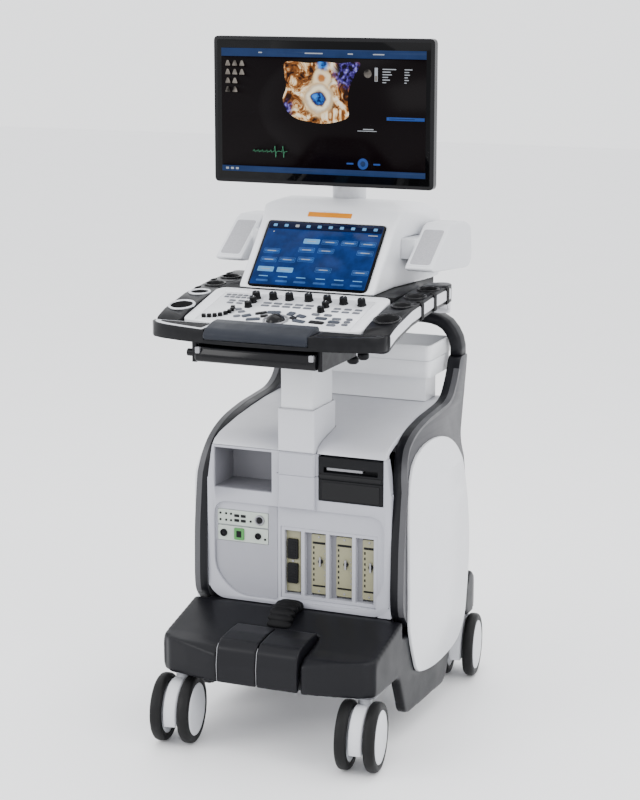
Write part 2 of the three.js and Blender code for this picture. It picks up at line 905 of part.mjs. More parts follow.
// Key mat: one thin pad with the keys and slider caps standing on it.
const keys = [];
function key(x, y, width, depth, height = 3.4) {
  const cap = slab(rectangle(-width / 2, width / 2, -depth / 2, depth / 2), height, 0);
  keys.push(onDeck(cap, x, y, -MAT_DEEP + 0.3));
}
for (let column = 0; column < 4; column++) {
  for (let row = 0; row < 2; row++) {
    key(-160 + column * 16, -142 - row * 11, 12, 7);
    key(112 + column * 16, -178 - row * 12, 12, 8);
  }
}
for (let column = 0; column < 8; column++) {
  key(-63 + column * 17.5, -178, 13, 8);
  key(-63 + column * 17.5, -192, 13, 8);
}
for (let slider = 0; slider < 8; slider++) {
  key(-160 + slider * 5, -276 + slider * 12, 18, 7, 6);
}
for (const side of [-1, 1]) {
  key(side * 38, -262, 16, 34, 4.2);
  key(side * 60, -258, 14, 26, 4.2);
  key(side * 24, -225, 24, 12, 4.2);
  key(side * 52, -222, 18, 12, 4.2);
}
for (let column = 0; column < 3; column++) {
  for (let row = 0; row < 2; row++) {
    key(112 + column * 20, -236 - row * 18, 14, 11);
  }
}
const mat = cut(
  join(matSlab(0, MAT_DEEP - 0.3, -0.4), ...keys),
  post(TRACKBALL[0], TRACKBALL[1], 800, 1000, TRACKBALL_RADIUS + 3, 32),
  ...TALL_KNOBS.map(([x, y]) => onDeck(turned(disc(12, -10, 20), 12), x, y)),
  ...LOW_KNOBS.map(([x, y]) => onDeck(turned(disc(10, -10, 20), 12), x, y)),
);
node("key_mat", mat, GREY);

const tallKnob = () =>
  turned(
    [
      [0, -KNOB_SEAT + 0.6],
      [10.5, -KNOB_SEAT + 0.6],
      [10.5, 2],
      [9.2, 4],
      [8.6, 14],
      [7.4, 15.5],
      [0, 15.5],
    ],
    18,
  );
const lowKnob = () =>
  turned(
    [
      [0, -KNOB_SEAT + 0.6],
      [8.6, -KNOB_SEAT + 0.6],
      [8.6, 5],
      [7.6, 7],
      [0, 7.5],
    ],
    18,
  );
TALL_KNOBS.forEach(([x, y], i) => node(`touch_knob_${i + 1}`, onDeck(tallKnob(), x, y), BLACK));
LOW_KNOBS.forEach(([x, y], i) => node(`mode_knob_${i + 1}`, onDeck(lowKnob(), x, y), BLACK));
node("trackball", ballAt(TRACKBALL_RADIUS), BLACK);

// Probe holder rails: three cups and one larger cup each.
const railTop = [
  [-299.5, 934],
  [-251.5, 951],
  [-154.5, 969],
  [-27.5, 979],
  [110, 983],
];
const railSide = railTop.concat(railTop.map(([y, z]) => [y, z - RAIL_DEPTH]).reverse());
const railPlan = rounded(
  [
    [RAIL_INNER, -299.5],
    [CONSOLE_HALF, -299.5],
    [CONSOLE_HALF, 110],
    [RAIL_INNER, 110],
  ],
  16,
  4,
);
const CUPS = [
  [23.5, 19],
  [-58.5, 19],
  [-138.5, 19],
  [-227.5, 24],
];
const railHeight = (y) => {
  const i = railTop.findIndex(([at]) => at > y);
  const [y0, z0] = railTop[i - 1];
  const [y1, z1] = railTop[i];
  return z0 + ((z1 - z0) * (y - y0)) / (y1 - y0);
};
const holderRail = cut(
  alongX(railSide, RAIL_INNER, CONSOLE_HALF).intersect(alongZ(railPlan, 800, 1100)),
  ...CUPS.map(([y, radius]) => post(236.5, y, railHeight(y) - 31, 1100, radius)),
);
node("holder_right", holderRail, BLACK);
node("holder_left", holderRail.mirror([1, 0, 0]), BLACK);

// The gel cup behind the right-hand rail.
const gelCup = join(
  cut(post(231, 131, 915, 978, 19.5, 28), post(231, 131, 921, 990, 17, 28)),
  cut(box(207, 255, 110.5, 122, 916, 924, 4), post(231, 131, 900, 1010, 19, 28)),
);
node("gel_cup", gelCup, LIGHT);

// The keyboard drawer under the front edge.
const drawerSide = rounded(
  [
    [-374, 866],
    [-376, 880],
    [-370, 896],
    [-355, 899],
    [-190, 899],
    [-190, 864],
    [-362, 864],
  ],
  5,
  3,
);
node("keyboard_drawer", alongX(drawerSide, -135.5, 135.5, 2), GLASS);

// The hood behind the deck: side, plan and front outlines meet in one rounded body.
const faceEnd = [FACE_FRONT_Y + 190 * Math.cos(FACE_ANGLE), FACE_FRONT_Z + 190 * Math.sin(FACE_ANGLE)];
const hoodSide = rounded(
  [
    [-106, HOOD_BOTTOM],
    [FACE_FRONT_Y - 1.5, FACE_FRONT_Z - 1.5],
    faceEnd,
    [52, 1147],
    [80, 1159],
    [120, 1161],
    [160, 1155],
    [210, 1146],
    [248, 1128],
    [266, 1098],
    [266, HOOD_BOTTOM],
  ],
  14,
  3,
);
const hoodPlanHalf = [
  [152, -112],
  [159, -100],
  [160, 26],
  [168, 70],
  [178, 120],
  [188, 190],
  [190, 225],
  [180, 256],
  [150, 270],
];
const hoodFront = rounded(
  [
    [-190, 970],
    [190, 970],
    [190, 1114],
    [170, 1146],
    [120, 1164],
    [-120, 1164],
    [-170, 1146],
    [-190, 1114],
  ],
  26,
  4,
);
const hoodBody = alongX(hoodSide, -195, 195)
  .intersect(alongZ(symmetric(hoodPlanHalf), 900, 1300))
  .intersect(alongY(hoodFront, -200, 300));
const onFace = (geometry, along, lift) =>
  toSolid(
    geometry
      .rotateX(FACE_ANGLE)
      .translate(
        0,
        FACE_FRONT_Y + along * Math.cos(FACE_ANGLE) - lift * Math.sin(FACE_ANGLE),
        FACE_FRONT_Z + along * Math.sin(FACE_ANGLE) + lift * Math.cos(FACE_ANGLE),
      ),
  );
const TOUCH_ALONG = 93;
const touchSlab = (grow, length) =>
  slab(
    rounded(rectangle(-140 - grow, 140 + grow, -89 - grow, 89 + grow), 8, 3),
    length,
    grow ? 0 : 0.8,
  );
const earStub = (x0, x1, grow) => box(x0, x1, 50 - grow, 130 + grow, 1040 - grow, 1085 + grow);
const hood = cut(
  hoodBody,
  onFace(touchSlab(0.5, 30), TOUCH_ALONG, -8),
  earStub(160, 200, 0.4),
  earStub(-200, -160, 0.4),
  post(0, POST_Y, 1120, 1300, POST_RADIUS + 0.6, 40),
);
node("console_hood", hood, WHITE);
node("touch_screen", onFace(touchSlab(0, 8.5), TOUCH_ALONG, -7.5), BLUE);

// Speaker pods at both sides of the hood.
const podSide = rounded(
  [
    [-16, 1030],
    [104, 1109],
    [120, 1114],
    [214, 1110],
    [252, 1094],
    [260, 1020],
    [236, 1002],
    [0, 1022],
  ],
  14,
  3,
);
const pod = join(alongX(podSide, 194, 258, 2), earStub(161, 196, 0));
node("speaker_right", pod, LIGHT);
node("speaker_left", pod.mirror([1, 0, 0]), LIGHT);

// ---------------------------------------------------------------- monitor
const neckSide = rounded(
  [
    [118, 1188],
    [186, 1188],
    [186, 1216],
    [150, 1262],
    [112, 1318],
    [96, 1332],
    [80, 1332],
    [80, 1304],
    [104, 1250],
  ],
  10,
  3,
);
const neck = join(
  post(0, POST_Y, 1120.6, 1192, POST_RADIUS, 36),
  alongX(neckSide, -30, 30, 3),
  toSolid(turned(disc(14, -30, 30), 24).rotateY(Math.PI / 2).translate(0, TILT_Y + 18, TILT_Z)),
);
node("monitor_neck", neck, WHITE);

const casing = join(
  alongY(
    rounded(rectangle(-SCREEN_HALF_WIDTH, SCREEN_HALF_WIDTH, SCREEN_LOW, SCREEN_HIGH), 12, 4),
    SCREEN_FRONT,
    SCREEN_FRONT + 26,
    2,
  ),
  alongY(rounded(rectangle(-190, 190, 1232, 1486), 30, 4), 12, 52, 10),
);
const glassPocket = alongY(
  rounded(rectangle(-249.5, 249.5, SCREEN_LOW + 7.5, SCREEN_HIGH - 7.5), 6, 3),
  SCREEN_FRONT - 5,
  SCREEN_FRONT + 3.5,
);
const ears = join(
  alongX(rounded(rectangle(50, 98, 1300, 1336), 12, 3), -44, -31),
  alongX(rounded(rectangle(50, 98, 1300, 1336), 12, 3), 31, 44),
);
node("monitor_housing", cut(join(casing, ears), glassPocket), BLACK);
node(
  "monitor_screen",
  alongY(
    rounded(rectangle(-249, 249, SCREEN_LOW + 8, SCREEN_HIGH - 8), 6, 3),
    SCREEN_FRONT,
    SCREEN_FRONT + 3,
  ),
  GLASS,
);

export default group;
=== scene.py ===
"""Looks of the cart-mounted ultrasound machine. Lengths below are millimetres in the frame's axes."""
import math

import bmesh
import bpy
from mathutils import Matrix, Vector


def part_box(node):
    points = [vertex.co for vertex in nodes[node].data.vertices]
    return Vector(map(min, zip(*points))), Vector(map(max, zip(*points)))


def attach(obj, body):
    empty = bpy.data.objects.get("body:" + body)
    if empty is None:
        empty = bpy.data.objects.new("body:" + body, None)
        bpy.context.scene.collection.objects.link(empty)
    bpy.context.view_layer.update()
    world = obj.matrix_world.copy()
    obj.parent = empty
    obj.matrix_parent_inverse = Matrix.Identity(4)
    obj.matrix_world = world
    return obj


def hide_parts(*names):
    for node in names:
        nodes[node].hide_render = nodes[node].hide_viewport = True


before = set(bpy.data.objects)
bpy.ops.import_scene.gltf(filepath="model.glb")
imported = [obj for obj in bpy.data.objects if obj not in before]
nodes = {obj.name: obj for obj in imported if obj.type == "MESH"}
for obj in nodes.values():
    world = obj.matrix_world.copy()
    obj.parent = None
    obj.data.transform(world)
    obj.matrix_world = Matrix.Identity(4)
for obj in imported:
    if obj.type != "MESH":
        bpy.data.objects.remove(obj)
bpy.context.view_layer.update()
MM = 0.001
SIDES = (("left", -1.0), ("right", 1.0))

# ---- camera
CAMERA_AT = Vector((1693.2, -4093.3, 1684.7)) * MM
LOOK_AT = Vector((0.0, -33.5, 728.3)) * MM
camera_data = bpy.data.cameras.new("camera")
camera_data.lens = 91.2
camera_data.sensor_width = 36.0
camera_data.sensor_fit = "AUTO"
camera_data.clip_end = 60.0
camera_data.shift_x = 0.0028
camera_data.shift_y = -0.0011
camera = bpy.data.objects.new("camera", camera_data)
camera.location = CAMERA_AT
camera.rotation_euler = (LOOK_AT - CAMERA_AT).to_track_quat("-Z", "Y").to_euler()
bpy.context.scene.collection.objects.link(camera)
bpy.context.scene.camera = camera


# ---- material tools
def new_material(name):
    """A material with its node tree, its shader and a node of the object's own coordinates."""
    material = bpy.data.materials.new(name)
    material.use_nodes = True
    tree = material.node_tree
    return material, tree, tree.nodes["Principled BSDF"], tree.nodes.new("ShaderNodeTexCoord")


def set_inputs(node, **inputs):
    """Sets inputs by name, with _ for a space. A colour gets its alpha here."""
    for key, value in inputs.items():
        plain = (*value, 1.0) if isinstance(value, tuple) else value
        node.inputs[key.replace("_", " ")].default_value = plain


def add_noise(tree, where, **inputs):
    """Noise in the object's own coordinates."""
    made = tree.nodes.new("ShaderNodeTexNoise")
    set_inputs(made, **inputs)
    tree.links.new(where.outputs["Object"], made.inputs["Vector"])
    return made


def ramp(tree, source, stops):
    """A colour ramp over a source, from stops of (position, colour)."""
    made = tree.nodes.new("ShaderNodeValToRGB")
    elements = made.color_ramp.elements
    while len(elements) < len(stops):
        elements.new(0.5)
    for element, (position, colour) in zip(elements, stops):
        element.position = position
        element.color = (*colour, 1.0)
    tree.links.new(source, made.inputs["Fac"])
    return made.outputs["Color"]


def grey(value):
    return (value, value, value)


def uneven(tree, noise, colour, spread, low, high):
    """A colour that drifts by spread on both sides as the noise goes from low to high."""
    darker = tuple(c * (1.0 - spread) for c in colour)
    lighter = tuple(min(1.0, c * (1.0 + spread)) for c in colour)
    return ramp(tree, noise.outputs["Fac"], [(low, darker), (high, lighter)])


def mix_colours(tree, factor, first, second):
    """first where the factor is 0 and second where it is 1. second may be a plain colour."""
    made = tree.nodes.new("ShaderNodeMix")
    made.data_type = "RGBA"
    tree.links.new(factor, made.inputs["Factor"])
    tree.links.new(first, made.inputs["A"])
    if isinstance(second, tuple):
        made.inputs["B"].default_value = (*second, 1.0)
    else:
        tree.links.new(second, made.inputs["B"])
    return made.outputs["Result"]


def worn_edges(tree, where, base, colour, wear):
    """Lightens a base colour in broken patches along the convex edges."""
    shape = tree.nodes.new("ShaderNodeNewGeometry")
    edge = ramp(tree, shape.outputs["Pointiness"], [(0.5, grey(0.0)), (0.58, grey(1.0))])
    scuff = add_noise(tree, where, Scale=60.0, Detail=6.0)
    broken = ramp(tree, scuff.outputs["Fac"], [(0.45, grey(0.0)), (0.62, grey(wear))])
    both = tree.nodes.new("ShaderNodeMath")
    both.operation = "MULTIPLY"
    tree.links.new(edge, both.inputs[0])
    tree.links.new(broken, both.inputs[1])
    worn = tuple(min(1.0, c * 1.8 + 0.05) for c in colour)
    return mix_colours(tree, both.outputs[0], base, worn)


def surface(
    name, colour, roughness, grain=900.0, bump=0.05, spread=0.05, mottle=14.0,
    metallic=0.0, coat=0.0, wear=0.0, sheen=0.0, specular=0.5,
):
    """A moulded, painted or rubber surface: soft colour drift, uneven gloss, fine grain and worn edges."""
    material, tree, shader, where = new_material(name)
    drift = add_noise(tree, where, Scale=mottle, Detail=4.0, Roughness=0.55)
    base = uneven(tree, drift, colour, spread, 0.3, 0.7)
    if wear > 0:
        base = worn_edges(tree, where, base, colour, wear)
    tree.links.new(base, shader.inputs["Base Color"])
    gloss = add_noise(tree, where, Scale=mottle * 3.1, Detail=5.0)
    smoothest = max(0.02, roughness * 0.86)
    roughest = min(1.0, roughness * 1.14)
    shine = ramp(tree, gloss.outputs["Fac"], [(0.3, grey(smoothest)), (0.7, grey(roughest))])
    tree.links.new(shine, shader.inputs["Roughness"])
    fine = add_noise(tree, where, Scale=grain, Detail=2.0)
    relief = tree.nodes.new("ShaderNodeBump")
    set_inputs(relief, Strength=bump, Distance=0.0004)
    tree.links.new(fine.outputs["Fac"], relief.inputs["Height"])
    tree.links.new(relief.outputs["Normal"], shader.inputs["Normal"])
    set_inputs(shader, Metallic=metallic, Coat_Weight=coat, Coat_Roughness=0.08)
    set_inputs(shader, Sheen_Weight=sheen, Specular_IOR_Level=specular)
    return material


def glow(name, colour, strength, drift=0.08):
    """A lit patch of a display, a little uneven."""
    material, tree, shader, where = new_material(name)
    noise = add_noise(tree, where, Scale=40.0, Detail=3.0)
    lit = uneven(tree, noise, colour, drift, 0.35, 0.65)
    tree.links.new(lit, shader.inputs["Emission Color"])
    set_inputs(shader, Emission_Strength=strength, Base_Color=(0.0008, 0.0008, 0.001))
    set_inputs(shader, Roughness=0.25, Specular_IOR_Level=0.04)
    return material


def grey_sides(name, dark, side_grey, **finish):
    """A dark paint whose faces that look sideways carry a grey."""
    material = surface(name, dark, **finish)
    tree = material.node_tree
    shader = tree.nodes["Principled BSDF"]
    paint = shader.inputs["Base Color"].links[0].from_socket
    shape = tree.nodes.new("ShaderNodeNewGeometry")
    parts = tree.nodes.new("ShaderNodeSeparateXYZ")
    tree.links.new(shape.outputs["Normal"], parts.inputs["Vector"])
    sideways = tree.nodes.new("ShaderNodeMath")
    sideways.operation = "ABSOLUTE"
    tree.links.new(parts.outputs["X"], sideways.inputs[0])
    mask = ramp(tree, sideways.outputs[0], [(0.80, grey(0.0)), (0.93, grey(1.0))])
    tree.links.new(mix_colours(tree, mask, paint, side_grey), shader.inputs["Base Color"])
    return material


# ---- materials
WHITE = surface("cover_white", (0.60, 0.61, 0.635), 0.36, bump=0.03, spread=0.015)
PANEL_WHITE = surface("panel_white", (0.70, 0.71, 0.735), 0.33, bump=0.03, spread=0.012)
LIGHT = surface("cover_light", (0.50, 0.505, 0.54), 0.40, bump=0.04, spread=0.02)
GREY = surface("cover_grey", (0.345, 0.35, 0.39), 0.42, bump=0.04, spread=0.025)
GREY_DEEP = surface("plate_grey", (0.255, 0.258, 0.29), 0.42, bump=0.04, spread=0.025)
# A darker grey that paints the shade inside recesses: on the storage bay's back and walls and on the port
# slots' walls.
PAINTED_SHADE_GREY = surface("painted_shade_grey", (0.17, 0.17, 0.19), 0.5, spread=0.03)
RECESS = surface("recess_grey", (0.075, 0.075, 0.085), 0.5, spread=0.04)
HUB = surface("hub_white", (0.56, 0.57, 0.60), 0.38, bump=0.04, spread=0.03)
FORK = surface("fork_grey", (0.55, 0.56, 0.59), 0.42, spread=0.03)
PLATE = surface("physio_plate", (0.37, 0.415, 0.37), 0.42, bump=0.04, spread=0.03)
IVORY = surface("port_ivory", (0.225, 0.215, 0.130), 0.42, bump=0.06)
GREEN = surface("socket_green", (0.035, 0.20, 0.035), 0.38, spread=0.08)
ORANGE = surface("badge_orange", (0.58, 0.20, 0.006), 0.32, bump=0.03, spread=0.06, coat=0.3)
KEY_GREY = surface("key_grey", (0.085, 0.090, 0.108), 0.5, bump=0.08)
KEY_BLUE = surface("key_blue", (0.022, 0.028, 0.042), 0.5, bump=0.08)
TEXT_MARK = surface("white_mark", (0.75, 0.76, 0.78), 0.5, spread=0.03)

SILVER = surface("frame_silver", (0.24, 0.24, 0.255), 0.36, metallic=0.35, spread=0.04)
# A light silver: real on the rail trims and the badge, and a painted reflection on the left front cup rims
# and dish.
SILVER_AND_PAINTED_REFLECTION = surface("rail_silver_and_painted_reflection", (0.60, 0.61, 0.64), 0.34, metallic=0.3, bump=0.04, spread=0.03)
STEEL = surface("steel_grey", (0.27, 0.27, 0.29), 0.45, metallic=0.7, bump=0.08, spread=0.06)
STRIP_GREY = (0.066, 0.066, 0.071)
STRIP = surface("strip_silver", STRIP_GREY, 0.38, metallic=0.15, spread=0.04, specular=0.3)

DARK = (0.0052, 0.0053, 0.0070)
DARK_FINISH = {"roughness": 0.36, "grain": 700.0, "bump": 0.10, "mottle": 6.0, "specular": 0.16}
CHARCOAL = surface("bumper_dark", DARK, wear=0.08, **DARK_FINISH)
FRAME_DARK = grey_sides("frame_dark", DARK, STRIP_GREY, **DARK_FINISH)
BLACK = surface(
    "console_black", (0.0045, 0.0046, 0.0056), 0.34, bump=0.04, spread=0.1, wear=0.05, specular=0.12
)
KNOB = surface("knob_black", (0.0030, 0.0030, 0.0036), 0.36, bump=0.08, spread=0.1, specular=0.14)
GLOSS = surface(
    "gloss_black", (0.0028, 0.0028, 0.0036), 0.18, bump=0.01, spread=0.1, coat=0.02, specular=0.18
)
SLATE = surface(
    "palm_slate", (0.0085, 0.0108, 0.0170), 0.50, 500.0, bump=0.25, spread=0.1, sheen=0.05, specular=0.18
)
RUBBER = surface("rubber_black", (0.0042, 0.0042, 0.0048), 0.6, 400.0, bump=0.3, spread=0.15, specular=0.12)
TYRE = surface("tyre_black", (0.0040, 0.0040, 0.0044), 0.55, 500.0, bump=0.25, spread=0.2, specular=0.2)
GRILLE = surface("speaker_grille", (0.30, 0.30, 0.32), 0.5, 420.0, bump=0.6, spread=0.12, mottle=300.0)
GLASS = surface("screen_glass", (0.0018, 0.0018, 0.0022), 0.09, bump=0.005, spread=0.1, specular=0.06)

SCREEN_DARK = glow("screen_dark", (0.0042, 0.0006, 0.0012), 0.6)
BAR_BLUE = glow("bar_blue", (0.016, 0.042, 0.135), 1.0)
LINE_BLUE = glow("line_blue", (0.03, 0.09, 0.36), 1.0)
TEXT_WHITE = glow("text_white", (0.62, 0.66, 0.72), 0.8)
TRACE_GREEN = glow("trace_green", (0.12, 0.42, 0.24), 0.9)
THUMB = glow("thumb_grey", (0.30, 0.27, 0.24), 0.6, drift=0.9)
TOUCH_BLUE = glow("touch_blue", (0.006, 0.040, 0.205), 0.95, drift=0.25)
TOUCH_TOP = glow("touch_top", (0.002, 0.008, 0.045), 0.9)
BUTTON_BLUE = glow("button_blue", (0.04, 0.15, 0.46), 0.95, drift=0.25)
BUTTON_LIT = glow("button_lit", (0.18, 0.50, 0.95), 1.0)


def echo_material(name):
    """A lit picture of cream and brown tissue: rings around a blue pool, and violet corners."""
    material, tree, shader, where = new_material(name)
    wander = add_noise(tree, where, Scale=45.0, Detail=4.0)
    shift = tree.nodes.new("ShaderNodeVectorMath")
    shift.operation = "MULTIPLY_ADD"
    tree.links.new(wander.outputs["Color"], shift.inputs[0])
    shift.inputs[1].default_value = (0.016, 0.0, 0.016)
    tree.links.new(where.outputs["Object"], shift.inputs[2])

    def distance_from(x, z):
        """How far a wandering point of the picture is from a place on it, in metres."""
        made = tree.nodes.new("ShaderNodeVectorMath")
        made.operation = "DISTANCE"
        made.inputs[1].default_value = (x * MM + 0.008, -0.0108, z * MM + 0.008)
        tree.links.new(shift.outputs["Vector"], made.inputs[0])
        return made.outputs["Value"]

    def near(distance, full, none):
        """1 up to a distance and 0 beyond a larger one."""
        return ramp(tree, distance, [(full, grey(1.0)), (none, grey(0.0))])

    cloud = add_noise(tree, where, Scale=34.0, Detail=7.0, Roughness=0.62, Distortion=1.2)
    tissue_tones = [
        (0.38, (0.02, 0.006, 0.004)), (0.47, (0.30, 0.10, 0.02)),
        (0.54, (0.90, 0.62, 0.32)), (0.62, (1.0, 0.93, 0.78)),
    ]
    tissue = ramp(tree, cloud.outputs["Fac"], tissue_tones)
    main_ring = distance_from(-8.0, 1388.0)
    ring_tones = [
        (0.013, (0.01, 0.05, 0.30)), (0.016, (0.04, 0.01, 0.004)), (0.019, (0.95, 0.80, 0.55)),
        (0.026, (1.0, 0.92, 0.72)), (0.029, (0.25, 0.09, 0.02)), (0.033, (0.92, 0.70, 0.40)),
    ]
    ring_tone = ramp(tree, main_ring, ring_tones)
    ring_mask = near(main_ring, 0.031, 0.040)
    upper_ring = distance_from(0.0, 1431.0)
    upper_tones = [
        (0.008, (0.45, 0.16, 0.04)), (0.013, (0.98, 0.86, 0.62)),
        (0.019, (0.90, 0.66, 0.36)), (0.023, (0.06, 0.02, 0.01)),
    ]
    upper_tone = ramp(tree, upper_ring, upper_tones)
    upper_mask = near(upper_ring, 0.021, 0.026)
    sea = add_noise(tree, where, Scale=95.0, Detail=5.0)
    violet_tones = [(0.45, (0.004, 0.002, 0.012)), (0.55, (0.05, 0.03, 0.22)), (0.66, (0.30, 0.28, 0.75))]
    violet = ramp(tree, sea.outputs["Fac"], violet_tones)
    corner_mask = near(distance_from(62.0, 1446.0), 0.026, 0.042)
    left_mask = near(distance_from(-92.0, 1360.0), 0.014, 0.030)
    water = ramp(tree, sea.outputs["Fac"], [(0.42, (0.004, 0.012, 0.10)), (0.60, (0.04, 0.26, 0.85))])
    pool_mask = near(main_ring, 0.011, 0.0145)
    top_mask = near(distance_from(2.0, 1463.0), 0.009, 0.017)
    layers = [
        (corner_mask, violet), (left_mask, violet), (upper_mask, upper_tone),
        (ring_mask, ring_tone), (pool_mask, water), (top_mask, water),
    ]
    shade = tissue
    for mask, tone in layers:
        shade = mix_colours(tree, mask, shade, tone)
    tree.links.new(shade, shader.inputs["Emission Color"])
    set_inputs(shader, Emission_Strength=1.3, Base_Color=(0.001, 0.001, 0.001), Specular_IOR_Level=0.04)
    return material


ECHO = echo_material("echo_picture")


# ---- outlines and places
def rounded(points, radius, steps=6):
    """An outline with its corners rounded, by one radius or by one for each corner."""
    out = []
    count = len(points)
    for i, corner in enumerate(points):
        here = Vector(corner)
        before = Vector(points[i - 1])
        after = Vector(points[(i + 1) % count])
        reach = radius[i] if isinstance(radius, list) else radius
        reach = min(reach, (before - here).length * 0.48, (after - here).length * 0.48)
        start = here + (before - here).normalized() * reach
        end = here + (after - here).normalized() * reach
        for s in range(steps + 1):
            t = s / steps
            out.append(tuple(start * (1 - t) ** 2 + here * (2 * t * (1 - t)) + end * t * t))
    return out


def rectangle(x0, x1, y0, y1, radius=0.0, steps=5):
    corners = [(x0, y0), (x1, y0), (x1, y1), (x0, y1)]
    return rounded(corners, radius, steps) if radius else corners


def around(x, y, wide, high):
    """The four edges of a rectangle with its middle at (x, y)."""
    return x - wide / 2, x + wide / 2, y - high / 2, y + high / 2


def circle(x, y, radius, sides):
    steps = [2 * math.pi * i / sides for i in range(sides)]
    return [(x + radius * math.cos(a), y + radius * math.sin(a)) for a in steps]


def curve(points, per_span=6, closed=False):
    """A smooth Catmull-Rom line through points of any dimension."""
    line = [Vector(p) for p in points]
    count = len(line)
    out = []
    for i in range(count if closed else count - 1):
        if closed:
            a, b, c, d = (line[(i + k) % count] for k in (-1, 0, 1, 2))
        else:
            a, b, c, d = line[max(i - 1, 0)], line[i], line[i + 1], line[min(i + 2, count - 1)]
        square = 2 * a - 5 * b + 4 * c - d
        cube = 3 * b - a - 3 * c + d
        for s in range(per_span):
            t = s / per_span
            out.append(0.5 * (2 * b + (c - a) * t + square * t * t + cube * t ** 3))
    if not closed:
        out.append(line[-1])
    return out


def read_off(line, at):
    """The height at a place along a line of (place, height) points. Past its end the line is level."""
    for (x0, y0), (x1, y1) in zip(line, line[1:]):
        if at <= x1:
            return y0 + (y1 - y0) * (at - x0) / (x1 - x0)
    return line[-1][1]


def place(x=0.0, y=0.0, z=0.0, rx=0.0, ry=0.0, rz=0.0):
    """A move in millimetres after turns in degrees."""
    turn = (
        Matrix.Rotation(math.radians(rz), 4, "Z")
        @ Matrix.Rotation(math.radians(ry), 4, "Y")
        @ Matrix.Rotation(math.radians(rx), 4, "X")
    )
    return Matrix.Translation((x, y, z)) @ turn


def facing(x, z, y, back=False):
    """Turns a lathe so that its height points at the front, or at the back."""
    return place(x, y, z, rx=-90.0 if back else 90.0)


def cad_box(name):
    """The lowest and the highest corner of a CAD node at rest, to a tenth of a millimetre."""
    return [[round(value / MM, 1) for value in corner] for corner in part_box(name)]


# ---- CAD nodes that stay
def shade_group():
    """Nodes that shade smooth, for the modifiers of CAD nodes, whose meshes stay as they are."""
    group = bpy.data.node_groups.new("shade_smooth", "GeometryNodeTree")
    for way in ("INPUT", "OUTPUT"):
        group.interface.new_socket("Geometry", in_out=way, socket_type="NodeSocketGeometry")
    entry = group.nodes.new("NodeGroupInput")
    leave = group.nodes.new("NodeGroupOutput")
    smooth = group.nodes.new("GeometryNodeSetShadeSmooth")
    group.links.new(entry.outputs[0], smooth.inputs[0])
    group.links.new(smooth.outputs[0], leave.inputs[0])
    return group


SHADE_SMOOTH = shade_group()


def round_edges(obj, width, segments=2, angle=35.0):
    """Rounds the edges sharper than an angle by a width in millimetres."""
    bevel = obj.modifiers.new("round", "BEVEL")
    bevel.width = width * MM
    bevel.segments = segments
    bevel.limit_method = "ANGLE"
    bevel.angle_limit = math.radians(angle)
    bevel.harden_normals = True
    bevel.use_clamp_overlap = True


def paint(name, material):
    """Gives a CAD node its one material."""
    obj = nodes[name]
    obj.data.materials.clear()
    obj.data.materials.append(material)
    return obj


def keep_cad(name, material, width):
    """A CAD node that stays: it gets a material, smooth shading and rounded edges."""
    obj = paint(name, material)
    weld = obj.modifiers.new("weld", "WELD")
    weld.merge_threshold = 0.00002
    shade = obj.modifiers.new("shade", "NODES")
    shade.node_group = SHADE_SMOOTH
    if width:
        round_edges(obj, width)


def soften_cad(name, material, voxel, rounds):
    """A CAD node of a soft moulding: a fine even skin whose edges are eased. Its mesh stays as it is."""
    obj = paint(name, material)
    skin = obj.modifiers.new("skin", "REMESH")
    skin.mode = "VOXEL"
    skin.voxel_size = voxel * MM
    skin.use_smooth_shade = True
    ease = obj.modifiers.new("ease", "SMOOTH")
    ease.factor = 0.5
    ease.iterations = rounds


KEPT = [
    ("base_frame", STEEL, 1.5), ("electronics_chassis", STEEL, 1.5), ("rear_cover", GREY, 2.0),
    ("lift_post", STEEL, 1.5), ("front_fascia", GREY, 1.6), ("top_cover", LIGHT, 1.5),
    ("column_cover_mid", LIGHT, 1.2), ("column_cover_upper", WHITE, 1.5),
    ("rear_tray", PANEL_WHITE, 1.6), ("rear_handle", CHARCOAL, 0.0),
    ("side_frame_left", FRAME_DARK, 3.0), ("side_frame_right", FRAME_DARK, 3.0),
    ("side_panel_left", PANEL_WHITE, 3.0), ("side_panel_right", PANEL_WHITE, 3.0),
    ("console_pan", BLACK, 2.5), ("console_deck", PANEL_WHITE, 2.5), ("palm_rest", SLATE, 2.5),
    ("holder_left", BLACK, 2.5), ("holder_right", BLACK, 2.5), ("gel_cup", LIGHT, 1.0),
    ("keyboard_drawer", GLOSS, 2.0), ("monitor_neck", WHITE, 2.0), ("printer", BLACK, 1.0),
]
for node, material, width in KEPT:
    keep_cad(node, material, width)
SOFTENED = [
    ("base_cover", CHARCOAL, 4.0, 8), ("brake_pedal", CHARCOAL, 2.0, 6),
    ("steer_lock_pedal", CHARCOAL, 2.0, 6), ("console_hood", PANEL_WHITE, 3.5, 12),
    ("speaker_left", WHITE, 2.5, 6), ("speaker_right", WHITE, 2.5, 6),
]
for node, material, voxel, rounds in SOFTENED:
    soften_cad(node, material, voxel, rounds)


